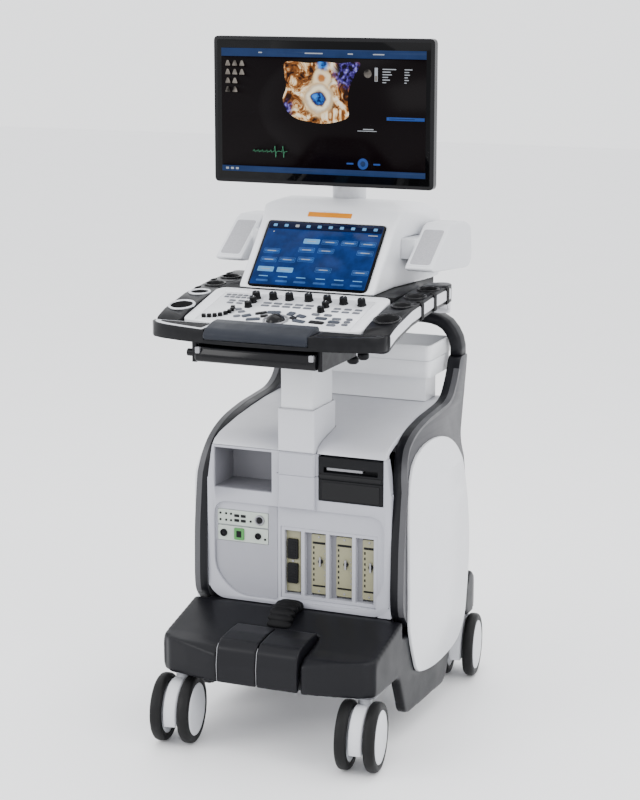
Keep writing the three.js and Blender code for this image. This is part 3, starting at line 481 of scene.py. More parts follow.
# ---- new pieces
class Piece:
    """Faces in millimetres that become one object. A shape takes the first material if none is named."""

    def __init__(self, name, body, materials, replaces=(), slot=None):
        self.name = name
        self.body = body
        self.materials = materials
        self.replaces = replaces
        self.slot = slot
        self.mesh = bmesh.new()

    def add(self, points, faces, material=None):
        made = [self.mesh.verts.new(Vector(p) * MM) for p in points]
        index = self.materials.index(material) if material else 0
        for face in faces:
            new = self.mesh.faces.new([made[i] for i in face])
            new.material_index = index
            new.smooth = True

    def prism(self, outline, axis, low, high, material=None, at=None):
        """An outline pulled along an axis: x takes (y, z), y takes (x, z) and z takes (x, y)."""
        count = len(outline)
        edges = zip(outline, [*outline[1:], outline[0]])
        area = sum(a[0] * b[1] - b[0] * a[1] for a, b in edges)
        line = outline if (area > 0) != (axis == "y") else outline[::-1]
        spots = []
        for level in (low, high):
            for a, b in line:
                spot = {"x": (level, a, b), "y": (a, level, b), "z": (a, b, level)}[axis]
                spots.append(at @ Vector(spot) if at else spot)
        faces = [list(range(count - 1, -1, -1)), list(range(count, 2 * count))]
        for i in range(count):
            j = (i + 1) % count
            faces.append([i, j, count + j, count + i])
        self.add(spots, faces, material)

    def slab(self, x0, x1, z0, z1, y0, y1, material=None, corner=0.0):
        """An upright plate that faces front and back, from y0 to y1."""
        self.prism(rectangle(x0, x1, z0, z1, corner), "y", y0, y1, material)

    def plate(self, x0, x1, y0, y1, z0, z1, material=None, corner=0.0, at=None):
        """A plate that lies level, or as its place turns it."""
        self.prism(rectangle(x0, x1, y0, y1, corner), "z", z0, z1, material, at)

    def lathe(self, profile, at, segments=48, material=None):
        """A profile of (radius, height) turned about Z, then placed. A profile may end on the axis."""
        points = []
        rings = []
        for radius, height in profile:
            turns = segments if radius > 1e-6 else 1
            rings.append([len(points) + i for i in range(turns)])
            for i in range(turns):
                angle = 2 * math.pi * i / segments
                points.append(at @ Vector((radius * math.cos(angle), radius * math.sin(angle), height)))
        faces = []
        for lower, upper in zip(rings, rings[1:]):
            for i in range(segments):
                j = (i + 1) % segments
                if len(lower) == 1:
                    faces.append([lower[0], upper[j], upper[i]])
                elif len(upper) == 1:
                    faces.append([lower[i], lower[j], upper[0]])
                else:
                    faces.append([lower[i], lower[j], upper[j], upper[i]])
        self.add(points, faces, material)

    def loft(self, rings, material=None):
        """Skins rings of equally many points, in order, and closes both ends."""
        count = len(rings[0])
        points = [p for ring in rings for p in ring]
        faces = []
        for r in range(len(rings) - 1):
            for i in range(count):
                j = (i + 1) % count
                faces.append([r * count + i, r * count + j, (r + 1) * count + j, (r + 1) * count + i])
        last = (len(rings) - 1) * count
        faces.append(list(range(count - 1, -1, -1)))
        faces.append(list(range(last, last + count)))
        self.add(points, faces, material)

    def sweep(self, path, radius, segments, material=None):
        """A round bar along a path of points."""
        path = [Vector(p) for p in path]
        rings = []
        up = Vector((0, 0, 1)) if abs((path[1] - path[0]).normalized().z) < 0.9 else Vector((0, 1, 0))
        for here, before, after in zip(path, [path[0], *path], [*path[1:], path[-1]]):
            along = (after - before).normalized()
            side = along.cross(up).normalized()
            up = side.cross(along).normalized()
            angles = [2 * math.pi * k / segments for k in range(segments)]
            rings.append([here + side * radius * math.cos(a) + up * radius * math.sin(a) for a in angles])
        self.loft(rings, material)

    def make(self, width=0.0, segments=2, angle=35.0):
        """Turns the faces into an object that rides on its body, with its edges rounded by the width."""
        bmesh.ops.recalc_face_normals(self.mesh, faces=self.mesh.faces)
        data = bpy.data.meshes.new(self.name)
        self.mesh.to_mesh(data)
        self.mesh.free()
        for material in self.materials:
            data.materials.append(material)
        obj = bpy.data.objects.new(self.name, data)
        bpy.context.scene.collection.objects.link(obj)
        if width:
            round_edges(obj, width, segments, angle)
        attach(obj, self.body)
        if self.replaces:
            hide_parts(*self.replaces)


# ---- casters
CASTER_X = 216.0
FRONT_Y = -288.5
REAR_Y = 357.9
TRAIL = 35.0
WHEEL_RADIUS = 75.0
# Each is (name, x, y, turn in degrees).
CASTERS = [
    ("front_left", -CASTER_X, FRONT_Y, 8.0), ("front_right", CASTER_X, FRONT_Y, 8.0),
    ("rear_left", -CASTER_X, REAR_Y, -8.0), ("rear_right", CASTER_X, REAR_Y, 8.0),
]
TYRE_PROFILE = [
    (58.0, 19.5), (64.0, 17.8), (69.5, 18.6), (73.2, 21.5), (74.8, 25.5), (WHEEL_RADIUS, 31.0),
    (74.8, 36.5), (73.2, 40.5), (69.5, 43.4), (64.0, 44.2), (58.0, 42.5),
]
HUB_PROFILE = [
    (6.6, 18.2), (14.0, 17.9), (16.0, 19.6), (54.0, 19.6), (58.5, 21.5), (58.5, 41.0), (57.0, 43.2),
    (54.0, 44.2), (40.0, 45.3), (20.0, 45.8), (0.0, 46.0),
]
for label, x, y, turn in CASTERS:
    keep_cad(f"caster_fork_{label}", FORK, 2.0)
    for suffix, side in (("a", -90.0), ("b", 90.0)):
        at = place(x, y, 0.0, rz=turn) @ place(0.0, -TRAIL, WHEEL_RADIUS, ry=side)
        body = f"wheel_{label}_{suffix}"
        wheel = Piece(body, body, [TYRE, HUB], [f"caster_{body}"], "tyre_black")
        wheel.lathe(TYRE_PROFILE, at, 72, TYRE)
        wheel.lathe(HUB_PROFILE, at, 72, HUB)
        wheel.make()

# ---- pedals and boot
PEDAL_EDGE = [(-364.5, 168.0), (-366.5, 204.0), (-361.0, 239.0), (-353.0, 248.5)]
for label, x, body in (("left", -97.6, "brake_pedal"), ("right", -4.6, "steer_lock_pedal")):
    line = Piece(f"pedal_line_{label}", body, [SILVER], slot="steel_grey")
    line.sweep([(x, y, z) for y, z in PEDAL_EDGE], 0.8, 8)
    line.make()

BOOT_LINE = [(-11, -226, 262), (-11, -218, 279), (-11, -200, 291), (-11, -174, 294), (-11, -153, 289)]
BOOT_HALF_WIDE = 29.0
BOOT_HALF_HIGH = 15.0
BOOT_FOLDS = 6.0
BOOT_SIDES = 40


def blunt(value, power):
    """A sine or cosine that turns a circle into a squarish ring."""
    return math.copysign(abs(value) ** power, value)


def boot_ring(here, t):
    """One ring of the bellows: almost level at the foot, where t is 0, and upright at the body."""
    fold = 0.84 + 0.16 * abs(math.sin(math.pi * BOOT_FOLDS * t)) ** 0.6
    lean_back = math.radians(81.0 * (1.0 - t))
    ring = []
    for k in range(BOOT_SIDES):
        angle = 2 * math.pi * k / BOOT_SIDES
        across = blunt(math.cos(angle), 0.6) * BOOT_HALF_WIDE * fold
        upward = blunt(math.sin(angle), 0.7) * BOOT_HALF_HIGH * fold
        y = here.y - upward * math.sin(lean_back)
        ring.append((here.x + across, y, here.z - 6.0 + upward * math.cos(lean_back)))
    return ring


boot = Piece("boot", "cart", [RUBBER], ["pedal_boot"], "rubber_black")
boot_path = curve(BOOT_LINE, 12)
boot.loft([boot_ring(here, i / (len(boot_path) - 1)) for i, here in enumerate(boot_path)])
boot.make()

# ---- side strips
# (y, z) points of the frame's outer edge, from its foot to the rear handle.
FRAME_EDGE = [
    (-104, 243), (-150, 291), (-153.5, 329), (-150.5, 440), (-136, 548), (-124, 600), (-98, 640), (-60, 661),
    (-16, 674), (57, 685), (140, 690), (192, 694), (222, 705), (243, 724), (262, 752), (275, 786), (324, 786),
]
# (height, how far the frame leans inwards there).
FRAME_LEAN = [(0, 0.0), (560, 0.0), (610, 7.0), (650, 14.0), (680, 18.0), (720, 21.0), (1000, 21.0)]
FRAME_SIDE = cad_box("side_frame_right")[1][0]
STRIP_THICK = 13.0
STRIP_WIDE = 9.0
STRIP_PROUD = 0.7
STRIP_SECTION = [
    (-STRIP_THICK, STRIP_PROUD), (STRIP_PROUD, STRIP_PROUD),
    (STRIP_PROUD, -STRIP_WIDE), (-STRIP_THICK, -STRIP_WIDE),
]
CORNER_STEPS = 4

# rounded() closes the outline, so the arc at its start and the two at its end are dropped.
arc = CORNER_STEPS + 1
edge_line = rounded(FRAME_EDGE, 26, CORNER_STEPS)[arc:-2 * arc]
for label, side in SIDES:
    strip = Piece(f"frame_strip_{label}", "cart", [STRIP], slot="steel_grey")
    sections = []
    for (y0, z0), (y, z), (y1, z1) in zip(edge_line, edge_line[1:], edge_line[2:]):
        size = math.hypot(y1 - y0, z1 - z0)
        out_y = -(z1 - z0) / size
        out_z = (y1 - y0) / size
        outer = FRAME_SIDE - read_off(FRAME_LEAN, z)
        sections.append([(side * (outer + a), y + out_y * b, z + out_z * b) for a, b in STRIP_SECTION])
    strip.loft(sections)
    strip.make(0.6, angle=50.0)

# ---- front plate and connectors
FASCIA = -148.0  # the y that the plates and sockets below are measured from
left_plate = Piece("fascia_left_plate", "cart", [GREY_DEEP], slot="cover_grey")
left_corners = [(-202, 412), (-202, 341), (-150, 290.5), (-52, 290.5), (-52, 504), (-73, 504), (-73, 412)]
left_plate.prism(rounded(left_corners, [2, 30, 30, 2, 2, 2, 2]), "y", FASCIA + 6.2, FASCIA + 8.2)
left_plate.make(0.6)

FRAME_INNER = 219.2
FASCIA_OUTER = 215.5
edges = Piece("fascia_edges", "cart", [GREY], slot="cover_grey")
right_edge = [
    (188, 278.4), (FRAME_INNER, 278.4), (FRAME_INNER, 556),
    (FASCIA_OUTER, 556), (FASCIA_OUTER, 302), (190, 281),
]
left_edge = [(-FRAME_INNER, 306), (-FASCIA_OUTER, 302), (-FASCIA_OUTER, 556), (-FRAME_INNER, 556)]
for outline in (right_edge, left_edge):
    edges.prism(outline, "y", FASCIA + 0.4, FASCIA + 20)
edges.make(0.5)

physio = Piece("physio_sockets", "cart", [PLATE, GREEN, BLACK, STEEL, GREY], ["physio_panel"], "cover_light")
(physio_left, _, physio_low), (physio_right, _, physio_high) = cad_box("physio_panel")
for low, high in ((physio_low, 447), (450, physio_high)):
    physio.slab(physio_left, physio_right, low, high, FASCIA + 5.5, FASCIA + 12, PLATE, 3)
physio.slab(physio_left, physio_right, physio_low, physio_high, FASCIA + 10, FASCIA + 16, GREY)
physio.slab(-156, -132, 417, 444, FASCIA + 2.5, FASCIA + 8, GREEN, 3)
physio.slab(-150, -138, 423, 438, FASCIA + 1.8, FASCIA + 4, BLACK, 1.5)
for x, z, radius, finish in [(-94, 467, 11.5, STEEL), (-98, 430, 7.5, BLACK), (-182, 430, 8.5, BLACK)]:
    at = facing(x, z, FASCIA + 6)
    collar = [(0.0, -2), (0.0, 3.2), (-1.2, 4.0), (-2.6, 3.8), (-3.2, 1.0), (-radius, 1.0)]
    physio.lathe([(radius + a, high) for a, high in collar], at, 40, finish)
    physio.lathe([(radius - 4.2, -1), (radius - 4.2, 2.6), (0, 2.8)], at, 32, BLACK)
SMALL_SOCKETS = [(x, z) for x in (-190, -176, -164) for z in (475, 460)] + [(-116, 462), (-81, 424)]
for x, z in SMALL_SOCKETS:
    physio.lathe([(2.6, -2), (2.6, 1.4), (1.6, 1.9), (0, 1.6)], facing(x, z, FASCIA + 5.6), 20, BLACK)
for x in (-150, -134):
    for z in (472, 461):
        physio.slab(*around(x, z, 12, 6.4), FASCIA + 4.2, FASCIA + 7, BLACK, 1.2)
physio.make(0.5)

# ---- probe ports
port_looks = [GREY, RECESS, IVORY, BLACK, STEEL, PAINTED_SHADE_GREY]
ports = Piece("probe_ports", "cart", port_looks, ["probe_port_block"], "port_ivory")
(PORT_LEFT, _, PORT_LOW), (PORT_RIGHT, PORT_BACK, PORT_HIGH) = cad_box("probe_port_block")
PORT_EDGES = [PORT_LEFT, 8.0, 67.0, 129.0, PORT_RIGHT]
RIM = 8.0
RIB_HALF = 4.2
PORT_FLOOR = PORT_BACK - 8.0
SOCKET = PORT_BACK - 26.0
ports.slab(PORT_LEFT, PORT_RIGHT, PORT_LOW, PORT_HIGH, PORT_BACK - 9, PORT_BACK, RECESS)
for x in PORT_EDGES:
    middle = min(max(x, PORT_LEFT + RIB_HALF), PORT_RIGHT - RIB_HALF)
    rib = middle - RIB_HALF, middle + RIB_HALF, PORT_LOW, PORT_HIGH
    ports.slab(*rib, FASCIA + 9.5, PORT_FLOOR + 1, GREY, 1.5)
for low, high in ((PORT_LOW, PORT_LOW + RIM), (PORT_HIGH - RIM, PORT_HIGH)):
    ports.slab(PORT_LEFT, PORT_RIGHT, low, high, FASCIA + 9.8, PORT_FLOOR + 1, GREY)
for left, right in zip(PORT_EDGES[1:], PORT_EDGES[2:]):
    x0 = left + 17.0
    x1 = right - 6.0
    middle = (x0 + x1) / 2
    # Beside each socket the slot's wall is a darker grey: painted shade inside the slot.
    ports.slab(left, x0, PORT_LOW + RIM, PORT_HIGH - RIM, SOCKET + 3, PORT_FLOOR, PAINTED_SHADE_GREY)
    ports.slab(x0, x1, 310, 446, SOCKET, PORT_FLOOR, IVORY, 4)
    for low, high in ((424, 429), (326, 330)):
        ports.slab(x0 + 3, x1 - 3, low, high, SOCKET - 1.2, SOCKET + 1, BLACK, 1)
    latch = facing(middle + 4, 385, SOCKET)
    ports.lathe([(5.5, 0), (5.5, 3.4), (4.2, 4.4), (0, 4.6)], latch, 28, BLACK)
    ports.slab(*around(middle + 4, 385, 4, 22), SOCKET - 6.5, SOCKET - 2, STEEL, 1.5)
    for row in range(7):
        z = 338.0 + row * 12.4
        ports.slab(x0 + 4, x0 + 7, z, z + 6, SOCKET - 1, SOCKET + 1, BLACK, 0.8)
        ports.slab(x1 - 5.5, x1 - 3.5, z + 2, z + 5, SOCKET - 1, SOCKET + 1, STEEL, 0.6)
    for z in (316, 440):
        ports.lathe([(2.4, 0), (2.4, 1.2), (0, 1.5)], facing(middle, z, SOCKET), 18, STEEL)
ports.slab(-37, -2, 308, 448, SOCKET + 2, PORT_FLOOR, IVORY, 3)
for z in (384, 328):
    ports.slab(-32, -7, z, z + 46, SOCKET - 4, SOCKET + 3, BLACK, 3)
    for row in range(6):
        low = z + 6 + row * 6.2
        ports.slab(-28, -11, low, low + 3, SOCKET - 4.8, SOCKET - 3, BLACK, 0.8)
ports.lathe([(3.2, 0), (3.2, 1.5), (0, 1.8)], facing(-20, 378, SOCKET + 2), 20, STEEL)
ports.make(0.5)

# ---- printer and storage recess
PRINTER = cad_box("printer")[0][1]
printer_trim = Piece("printer_trim", "cart", [SILVER, GLOSS], slot="steel_grey")
printer_trim.slab(66, 150, 597.5, 603.5, PRINTER + 8, PRINTER + 15, SILVER, 1.5)
printer_trim.slab(53, 197, 582, 590, PRINTER - 1.2, PRINTER + 1, GLOSS, 1.0)
printer_trim.slab(58, 192, 534, 573, PRINTER - 1.0, PRINTER + 1, GLOSS, 3.0)
printer_trim.make(0.4)

BAY = (-201.6, -62.4, 535.4, 626.6)
BAY_BACK = -49.6
# The bay's back and four walls are lined in a darker grey: painted shade inside the storage recess.
storage = Piece("storage_painted_shade", "cart", [PAINTED_SHADE_GREY], slot="cover_grey")
storage.slab(*BAY, BAY_BACK, BAY_BACK + 1.4)
BAY_WALLS = [
    (-201.6, -200.4, 536, 626), (-63.6, -62.4, 536, 626), (-201, -63, 535.4, 536.6), (-201, -63, 625.4, 626.6)
]
for wall in BAY_WALLS:
    storage.slab(*wall, -144.0, BAY_BACK + 0.6)
storage.make(0.3)

# ---- rear of the body
REAR = cad_box("rear_cover")[1][1]
PANEL_HALF = 152
rear = Piece("rear_panel", "cart", [GREY_DEEP, BLACK, GREY, STEEL, RECESS], slot="cover_grey")


def on_rear(x, z, wide, high, inside, outside, material, corner=0.0):
    """A plate on the rear cover, given by its middle and by how far it reaches in and out."""
    rear.slab(*around(x, z, wide, high), REAR + inside, REAR + outside, material, corner)


on_rear(0, 546, 2 * PANEL_HALF, 188, -2, 1.6, GREY_DEEP, 12)
on_rear(0, 546, 2 * PANEL_HALF - 16, 172, -1, 2.0, RECESS, 8)
for row in range(14):
    low = 463.0 + row * 12.0
    slat = [(REAR + 1.4, low), (REAR + 4.4, low + 1.0), (REAR + 4.4, low + 3.0), (REAR + 1.4, low + 8.0)]
    rear.prism(slat, "x", 8.0 - PANEL_HALF, PANEL_HALF - 8.0, GREY)
for x in (-48.0, 48.0):
    on_rear(x, 546, 6, 172, 1.0, 4.8, GREY)
on_rear(0, 377, 2 * PANEL_HALF, 94, -2, 1.6, GREY_DEEP, 10)
on_rear(0, 377, 2 * PANEL_HALF - 14, 80, -1, 2.2, BLACK, 6)
on_rear(-107, 377, 50, 38, 1, 4.2, RECESS, 5)
on_rear(-107, 377, 36, 26, 3, 5.0, BLACK, 6)
for x, z in ((-114, 373), (-100, 373), (-107, 382)):
    on_rear(x, z, 2.8, 6, 4, 6.2, STEEL)
on_rear(-58, 377, 20, 30, 1, 4.2, RECESS, 3)
on_rear(-58, 377, 14, 24, 3, 6.0, BLACK, 2)
for x in (-26.0, 4.0):
    shell = [(x - 13, 384), (x + 13, 384), (x + 10, 370), (x - 10, 370)]
    rear.prism(rounded(shell, 2.5), "y", REAR + 1, REAR + 5.0, STEEL)
    inner = [(x - 10, 382), (x + 10, 382), (x + 8, 372), (x - 8, 372)]
    rear.prism(rounded(inner, 2.0), "y", REAR + 4, REAR + 5.6, BLACK)
    for screw in (x - 16.5, x + 16.5):
        rear.lathe([(2.2, 0), (2.2, 3.0), (0, 3.4)], facing(screw, 377, REAR + 2, True), 12, STEEL)
for x in (34.0, 54.0, 74.0):
    on_rear(x, 377, 15, 14, 1, 4.6, STEEL, 1)
    on_rear(x, 377, 12, 10, 4, 5.0, BLACK, 0.8)
EARTH_POST = [(8.5, 0), (8.5, 3.0), (5.0, 3.4), (5.0, 9.0), (4.0, 10.0), (0, 10.0)]
for x in (100.0, 126.0):
    rear.lathe(EARTH_POST, facing(x, 377.0, REAR + 1.5, True), 28, STEEL)
COVER_SCREW = [(4.6, 0), (4.6, 1.6), (3.4, 2.2), (0, 2.2)]
for x in (-146.0, 146.0):
    for z in (440.0, 312.0, 652.0):
        rear.lathe(COVER_SCREW, facing(x, z, REAR - 0.5, True), 24, STEEL)
rear.make(0.5)

# ---- console deck
DECK_SLOPE = 50.0 / 220.0
DECK_ANGLE = math.degrees(math.atan(DECK_SLOPE))
DECK_FRONT_Y = -333.5
DECK_FRONT_Z = 928.0


def deck_top(y):
    return DECK_FRONT_Z + DECK_SLOPE * (y - DECK_FRONT_Y)


def on_deck(x, y, lift=0.0, turn=0.0):
    return place(x, y, deck_top(y) + lift, rx=DECK_ANGLE) @ place(rz=turn)


def knob_rings(at, radius, high, ribs):
    """The rings of a turned knob with a ribbed grip and a dished cap."""
    # Each is (share of the radius, height, rib depth).
    profile = [
        (1.0, -2.2, 0.0), (1.0, 0.8, 0.0), (0.93, 1.8, 0.2), (0.90, 3.0, 1.0), (0.84, high - 2.0, 1.0),
        (0.80, high - 0.8, 0.4), (0.74, high, 0.0), (0.62, high, 0.0), (0.56, high - 0.7, 0.0),
        (0.1, high - 0.7, 0.0),
    ]
    rings = []
    for share, z, depth in profile:
        ring = []
        for i in range(ribs * 4):
            angle = 2 * math.pi * i / (ribs * 4)
            grip = 1.0 - 0.05 * depth * (0.5 + 0.5 * math.cos(ribs * angle))
            reach = radius * share * grip
            ring.append(at @ Vector((reach * math.cos(angle), reach * math.sin(angle), z)))
        rings.append(ring)
    return rings


TALL_KNOBS = [(-92, -156), (-53, -154), (-16, -152), (28, -150), (72, -152), (110, -154), (152, -156)]
LOW_KNOBS = [(-90, -204), (-90, -178), (78, -204), (78, -178)]
# Each is (piece, CAD node, places, radius, height, ribs, edges of the white mark).
KNOB_SETS = [
    ("tall_knob", "touch_knob", TALL_KNOBS, 10.3, 15.3, 18, (-0.6, 0.6, 2.5, 7.0, 14.9, 15.45)),
    ("low_knob", "mode_knob", LOW_KNOBS, 9.0, 12.4, 16, (-0.5, 0.5, 2.0, 6.0, 12.0, 12.5)),
]
for piece, node, places, radius, high, ribs, mark in KNOB_SETS:
    for i, (x, y) in enumerate(places, 1):
        at = on_deck(x, y)
        knob = Piece(f"{piece}_{i}", f"{node}_{i}", [KNOB, TEXT_MARK], [f"{node}_{i}"], "rubber_black")
        knob.loft(knob_rings(at, radius, high, ribs))
        knob.plate(*mark, TEXT_MARK, at=at)
        knob.make()

BALL_RADIUS = 21.8
BALL_Y = -262.0
BALL_Z = deck_top(BALL_Y) - 8.0
BALL_STEPS = 32
ball = Piece("roller_ball", "trackball", [GLOSS], ["trackball"], "console_black")
ball_profile = []
for i in range(BALL_STEPS + 1):
    angle = -math.pi / 2 + math.pi * i / BALL_STEPS
    ball_profile.append((BALL_RADIUS * math.cos(angle), BALL_RADIUS * math.sin(angle)))
ball.lathe(ball_profile, place(0.0, BALL_Y, BALL_Z), 64)
ball.make()

keys = Piece("keys", "console", [KEY_GREY, KEY_BLUE, KNOB, PANEL_WHITE, SILVER], ["key_mat"], "rubber_black")


def key(x, y, wide, deep, material=KEY_GREY, high=3.2, turn=0.0, corner=3.0):
    """One key: a rounded cap with a slightly smaller top."""
    at = on_deck(x, y, -2.0, turn)
    base = rectangle(-wide / 2, wide / 2, -deep / 2, deep / 2, corner)
    levels = [(1.0, 1.0, 0.0), (1.0, 1.0, high - 0.8), (0.97, 0.96, high - 0.2), (0.93, 0.90, high)]
    keys.loft([[at @ Vector((a * u, b * v, z)) for a, b in base] for u, v, z in levels], material)


def key_grid(x, y, columns, rows, pitch_x, pitch_y, wide, deep, **look):
    """Rows of equal keys from their first, at the back on the left."""
    for column in range(columns):
        for row in range(rows):
            key(x + column * pitch_x, y - row * pitch_y, wide, deep, **look)


MAT_HALF = 77.5 / math.cos(math.radians(DECK_ANGLE))
keys.plate(-175.6, 175.6, -MAT_HALF, MAT_HALF, -1.9, -0.2, PANEL_WHITE, 6, on_deck(0.0, -209.5))
key_grid(-162, -146, 5, 2, 13.5, 12, 10.5, 7, high=3.0, corner=1.6)
key_grid(-56, -178, 5, 2, 24.5, 14, 19, 8)
key_grid(108, -184, 3, 2, 24, 15, 17, 8)
key_grid(-140, -176, 2, 2, 22, 13, 15, 8, high=3.0, turn=-8.0, corner=2.5)
SLIDER_ARC = [
    (-162, -273), (-150, -271), (-139, -267), (-129, -261),
    (-121, -252), (-116, -242), (-115, -231), (-118, -220),
]
for x, y in SLIDER_ARC:
    key(x, y, 8.5, 8.0, KNOB, 9.0, 8.0, 1.4)
# Each is (x, y, width, depth, turn in degrees).
BIG_KEYS = {
    KEY_BLUE: [
        (-72, -252, 20, 12, 38), (-20, -226, 30, 12, 8), (20, -227, 16, 18, -12), (47, -236, 22, 13, -22),
        (52, -262, 30, 12, -14), (-50, -268, 30, 12, 16), (94, -240, 26, 11, -4), (128, -254, 26, 11, -3),
    ],
    KNOB: [(-46, -234, 26, 11, 30), (-33, -248, 17, 12, 24), (33, -247, 15, 13, -30), (92, -262, 34, 13, -5)],
    KEY_GREY: [
        (128, -270, 20, 9, -3), (156, -250, 14, 8, 0), (156, -264, 14, 8, 0), (156, -236, 14, 8, 0),
        (128, -238, 20, 9, 0), (-92, -234, 15, 9, 30), (-92, -258, 15, 9, 30), (-104, -222, 14, 8, 20),
        (74, -222, 18, 9, -6), (102, -222, 18, 9, -4),
    ],
}
for finish, places in BIG_KEYS.items():
    for x, y, wide, deep, turn in places:
        key(x, y, wide, deep, finish, 4.4, turn, 4.0)
BALL_RING = [(23.2, 7.0), (27.5, 7.0), (27.5, 10.2), (25.5, 11.4), (23.4, 10.6), (23.2, 7.0)]
keys.lathe(BALL_RING, place(0.0, BALL_Y, BALL_Z) @ place(rx=DECK_ANGLE), 64, SILVER)
keys.make()

# ---- probe holders
# Each is (y, radius), from the back.
CUPS = [(23.5, 19.0), (-58.5, 19.0), (-138.5, 19.0), (-227.5, 24.0)]
CUP_X = 236.5
# (y, z) points of the rail's top.
RAIL_TOP = [(-299.5, 934.0), (-251.5, 951.0), (-154.5, 969.0), (-27.5, 979.0), (110.0, 983.0)]
RAIL_SIDE = cad_box("holder_right")[1][0]
TRIM_STATIONS = [-286 + i * 22 for i in range(18)]
# Each is (further out than the cup's hole or the rail's side, higher than the rail's top).
CUP_RIM = [(0.6, -1.5), (5.6, -1.5), (6.2, 0.8), (5.0, 2.4), (2.6, 2.8), (0.6, 1.8), (0.6, -1.5)]
TRIM_SECTION = [(0.0, -31.0), (2.2, -28.0), (2.2, -9.0), (0.0, -6.0)]
STRAP_SECTION = [
    (-9.0, 1.6), (-1.0, 1.4), (3.6, -4.0), (3.8, -36.0), (0.2, -39.5), (0.2, -37.0), (0.2, -3.0), (-9.0, -0.4)
]


def rail_height(y):
    return read_off(RAIL_TOP, y)


def rail_angle(y):
    return math.degrees(math.atan2(rail_height(y + 8) - rail_height(y - 8), 16.0))


for label, side in SIDES:
    rims = Piece(f"cup_rims_{label}", "console", [GLOSS, RUBBER, SILVER_AND_PAINTED_REFLECTION], slot="console_black")
    for y, radius in CUPS:
        at = place(side * CUP_X, y, rail_height(y), rx=rail_angle(y))
        # The left front cups get light silver rims where the others have gloss black ones: a painted
        # reflection on the left front corner.
        painted_reflection = side < 0 and y < -100.0
        rims.lathe([(radius + a, z) for a, z in CUP_RIM], at, 56, SILVER_AND_PAINTED_REFLECTION if painted_reflection else GLOSS)
        liner = [(radius + 0.7, 0.4), (radius - 1.4, 0.0), (radius - 1.6, -26.0), (0.0, -26.4)]
        rims.lathe(liner, at, 48, RUBBER)
    rims.make()
    trim = Piece(f"rail_trim_{label}", "console", [SILVER_AND_PAINTED_REFLECTION], slot="steel_grey")
    trim.loft(
        [[(side * (RAIL_SIDE + a), y, rail_height(y) + b) for a, b in TRIM_SECTION] for y in TRIM_STATIONS]
    )
    trim.make(0.5)
    straps = Piece(f"rail_straps_{label}", "console", [RUBBER], slot="rubber_black")
    for y in (-17.0, -98.0, 66.0):
        outline = [(side * (RAIL_SIDE + a), rail_height(y) + b) for a, b in STRAP_SECTION]
        straps.prism(outline, "y", y - 8.0, y + 8.0)
    straps.make(0.6)

DISH_TILT = 1.2
DISH_RIM = [(122, -366), (180, -352), (222, -340), (245, -328), (257, -314), (259, -303), (122, -303)]
DISH = [(129, -355), (178, -342), (216, -330), (236, -320), (244, -313), (245, -308), (129, -308)]
lid = place(0.0, 0.0, 934.2 + 300.5 * math.tan(math.radians(DISH_TILT)), rx=DISH_TILT)
# The left dish is light silver where the right one is black: a painted reflection on the left front corner.
for label, side, finish in (("left", -1, SILVER_AND_PAINTED_REFLECTION), ("right", 1, BLACK)):
    corner = Piece(f"front_dish_{label}", "console", [finish, RUBBER], slot="console_black")
    corner.prism(rounded([(side * x, y) for x, y in DISH_RIM], 6.0), "z", -1.5, 0.9, finish, lid)
    corner.prism(rounded([(side * x, y) for x, y in DISH], 6.0), "z", 0.4, 1.5, RUBBER, lid)
    corner.make(0.5)

# ---- keyboard drawer
DRAWER_TOP = cad_box("keyboard_drawer")[1][2]
drawer_trim = Piece("drawer_trim", "keyboard_drawer", [SILVER, BLACK], slot="steel_grey")
for x in (-128.0, 128.0):
    drawer_trim.slab(x - 5, x + 5, DRAWER_TOP - 15, DRAWER_TOP - 2, -377.6, -370.0, SILVER, 2)
drawer_trim.slab(-118, 118, DRAWER_TOP - 21.5, DRAWER_TOP - 19, -376.9, -374.0, BLACK, 0.8)
drawer_trim.make(0.4)

KEY_PITCH = 16.4
KEY_GAP = 2.0
LAST_ROW = [(-123, -84), (-82, -56), (-54, 46), (48, 72), (74, 97), (99, 123)]


def key_spans(row):
    """Where the keys of a row begin and end. Each row but the last starts 0, 5 or 10 mm further in."""
    if row == 5:
        return LAST_ROW
    start = -123.0 + (row % 3) * 5.0
    spans = [(-123.0, start - KEY_GAP)] if row % 3 else []
    while start + KEY_PITCH < 124.0:
        spans.append((start, start + KEY_PITCH - KEY_GAP))
        start += KEY_PITCH
    return spans


drawer_keys = Piece("drawer_keys", "keyboard_drawer", [KNOB, RUBBER, KEY_GREY], slot="rubber_black")
drawer_keys.plate(-127, 127, -350, -238, DRAWER_TOP - 1.0, DRAWER_TOP + 0.5, RUBBER, 4)
for row in range(6):
    middle = -246.5 - row * 18.0
    for left, right in key_spans(row):
        cap = left, right, middle - 7.5, middle + 7.5
        drawer_keys.plate(*cap, DRAWER_TOP, DRAWER_TOP + 2.2, KNOB if row else KEY_GREY, 1.8)
drawer_keys.make(0.5)

# ---- touch screen
FACE_ANGLE = 46.0
FACE_START = (-104.5, 984.0)
TOUCH_WIDE = 270
TOUCH_HIGH = 170


def on_face(along):
    """A place on the slanted face of the hood, some way up from its lower edge."""
    turn = math.radians(FACE_ANGLE)
    y = FACE_START[0] + along * math.cos(turn)
    return place(0.0, y, FACE_START[1] + along * math.sin(turn), rx=FACE_ANGLE)


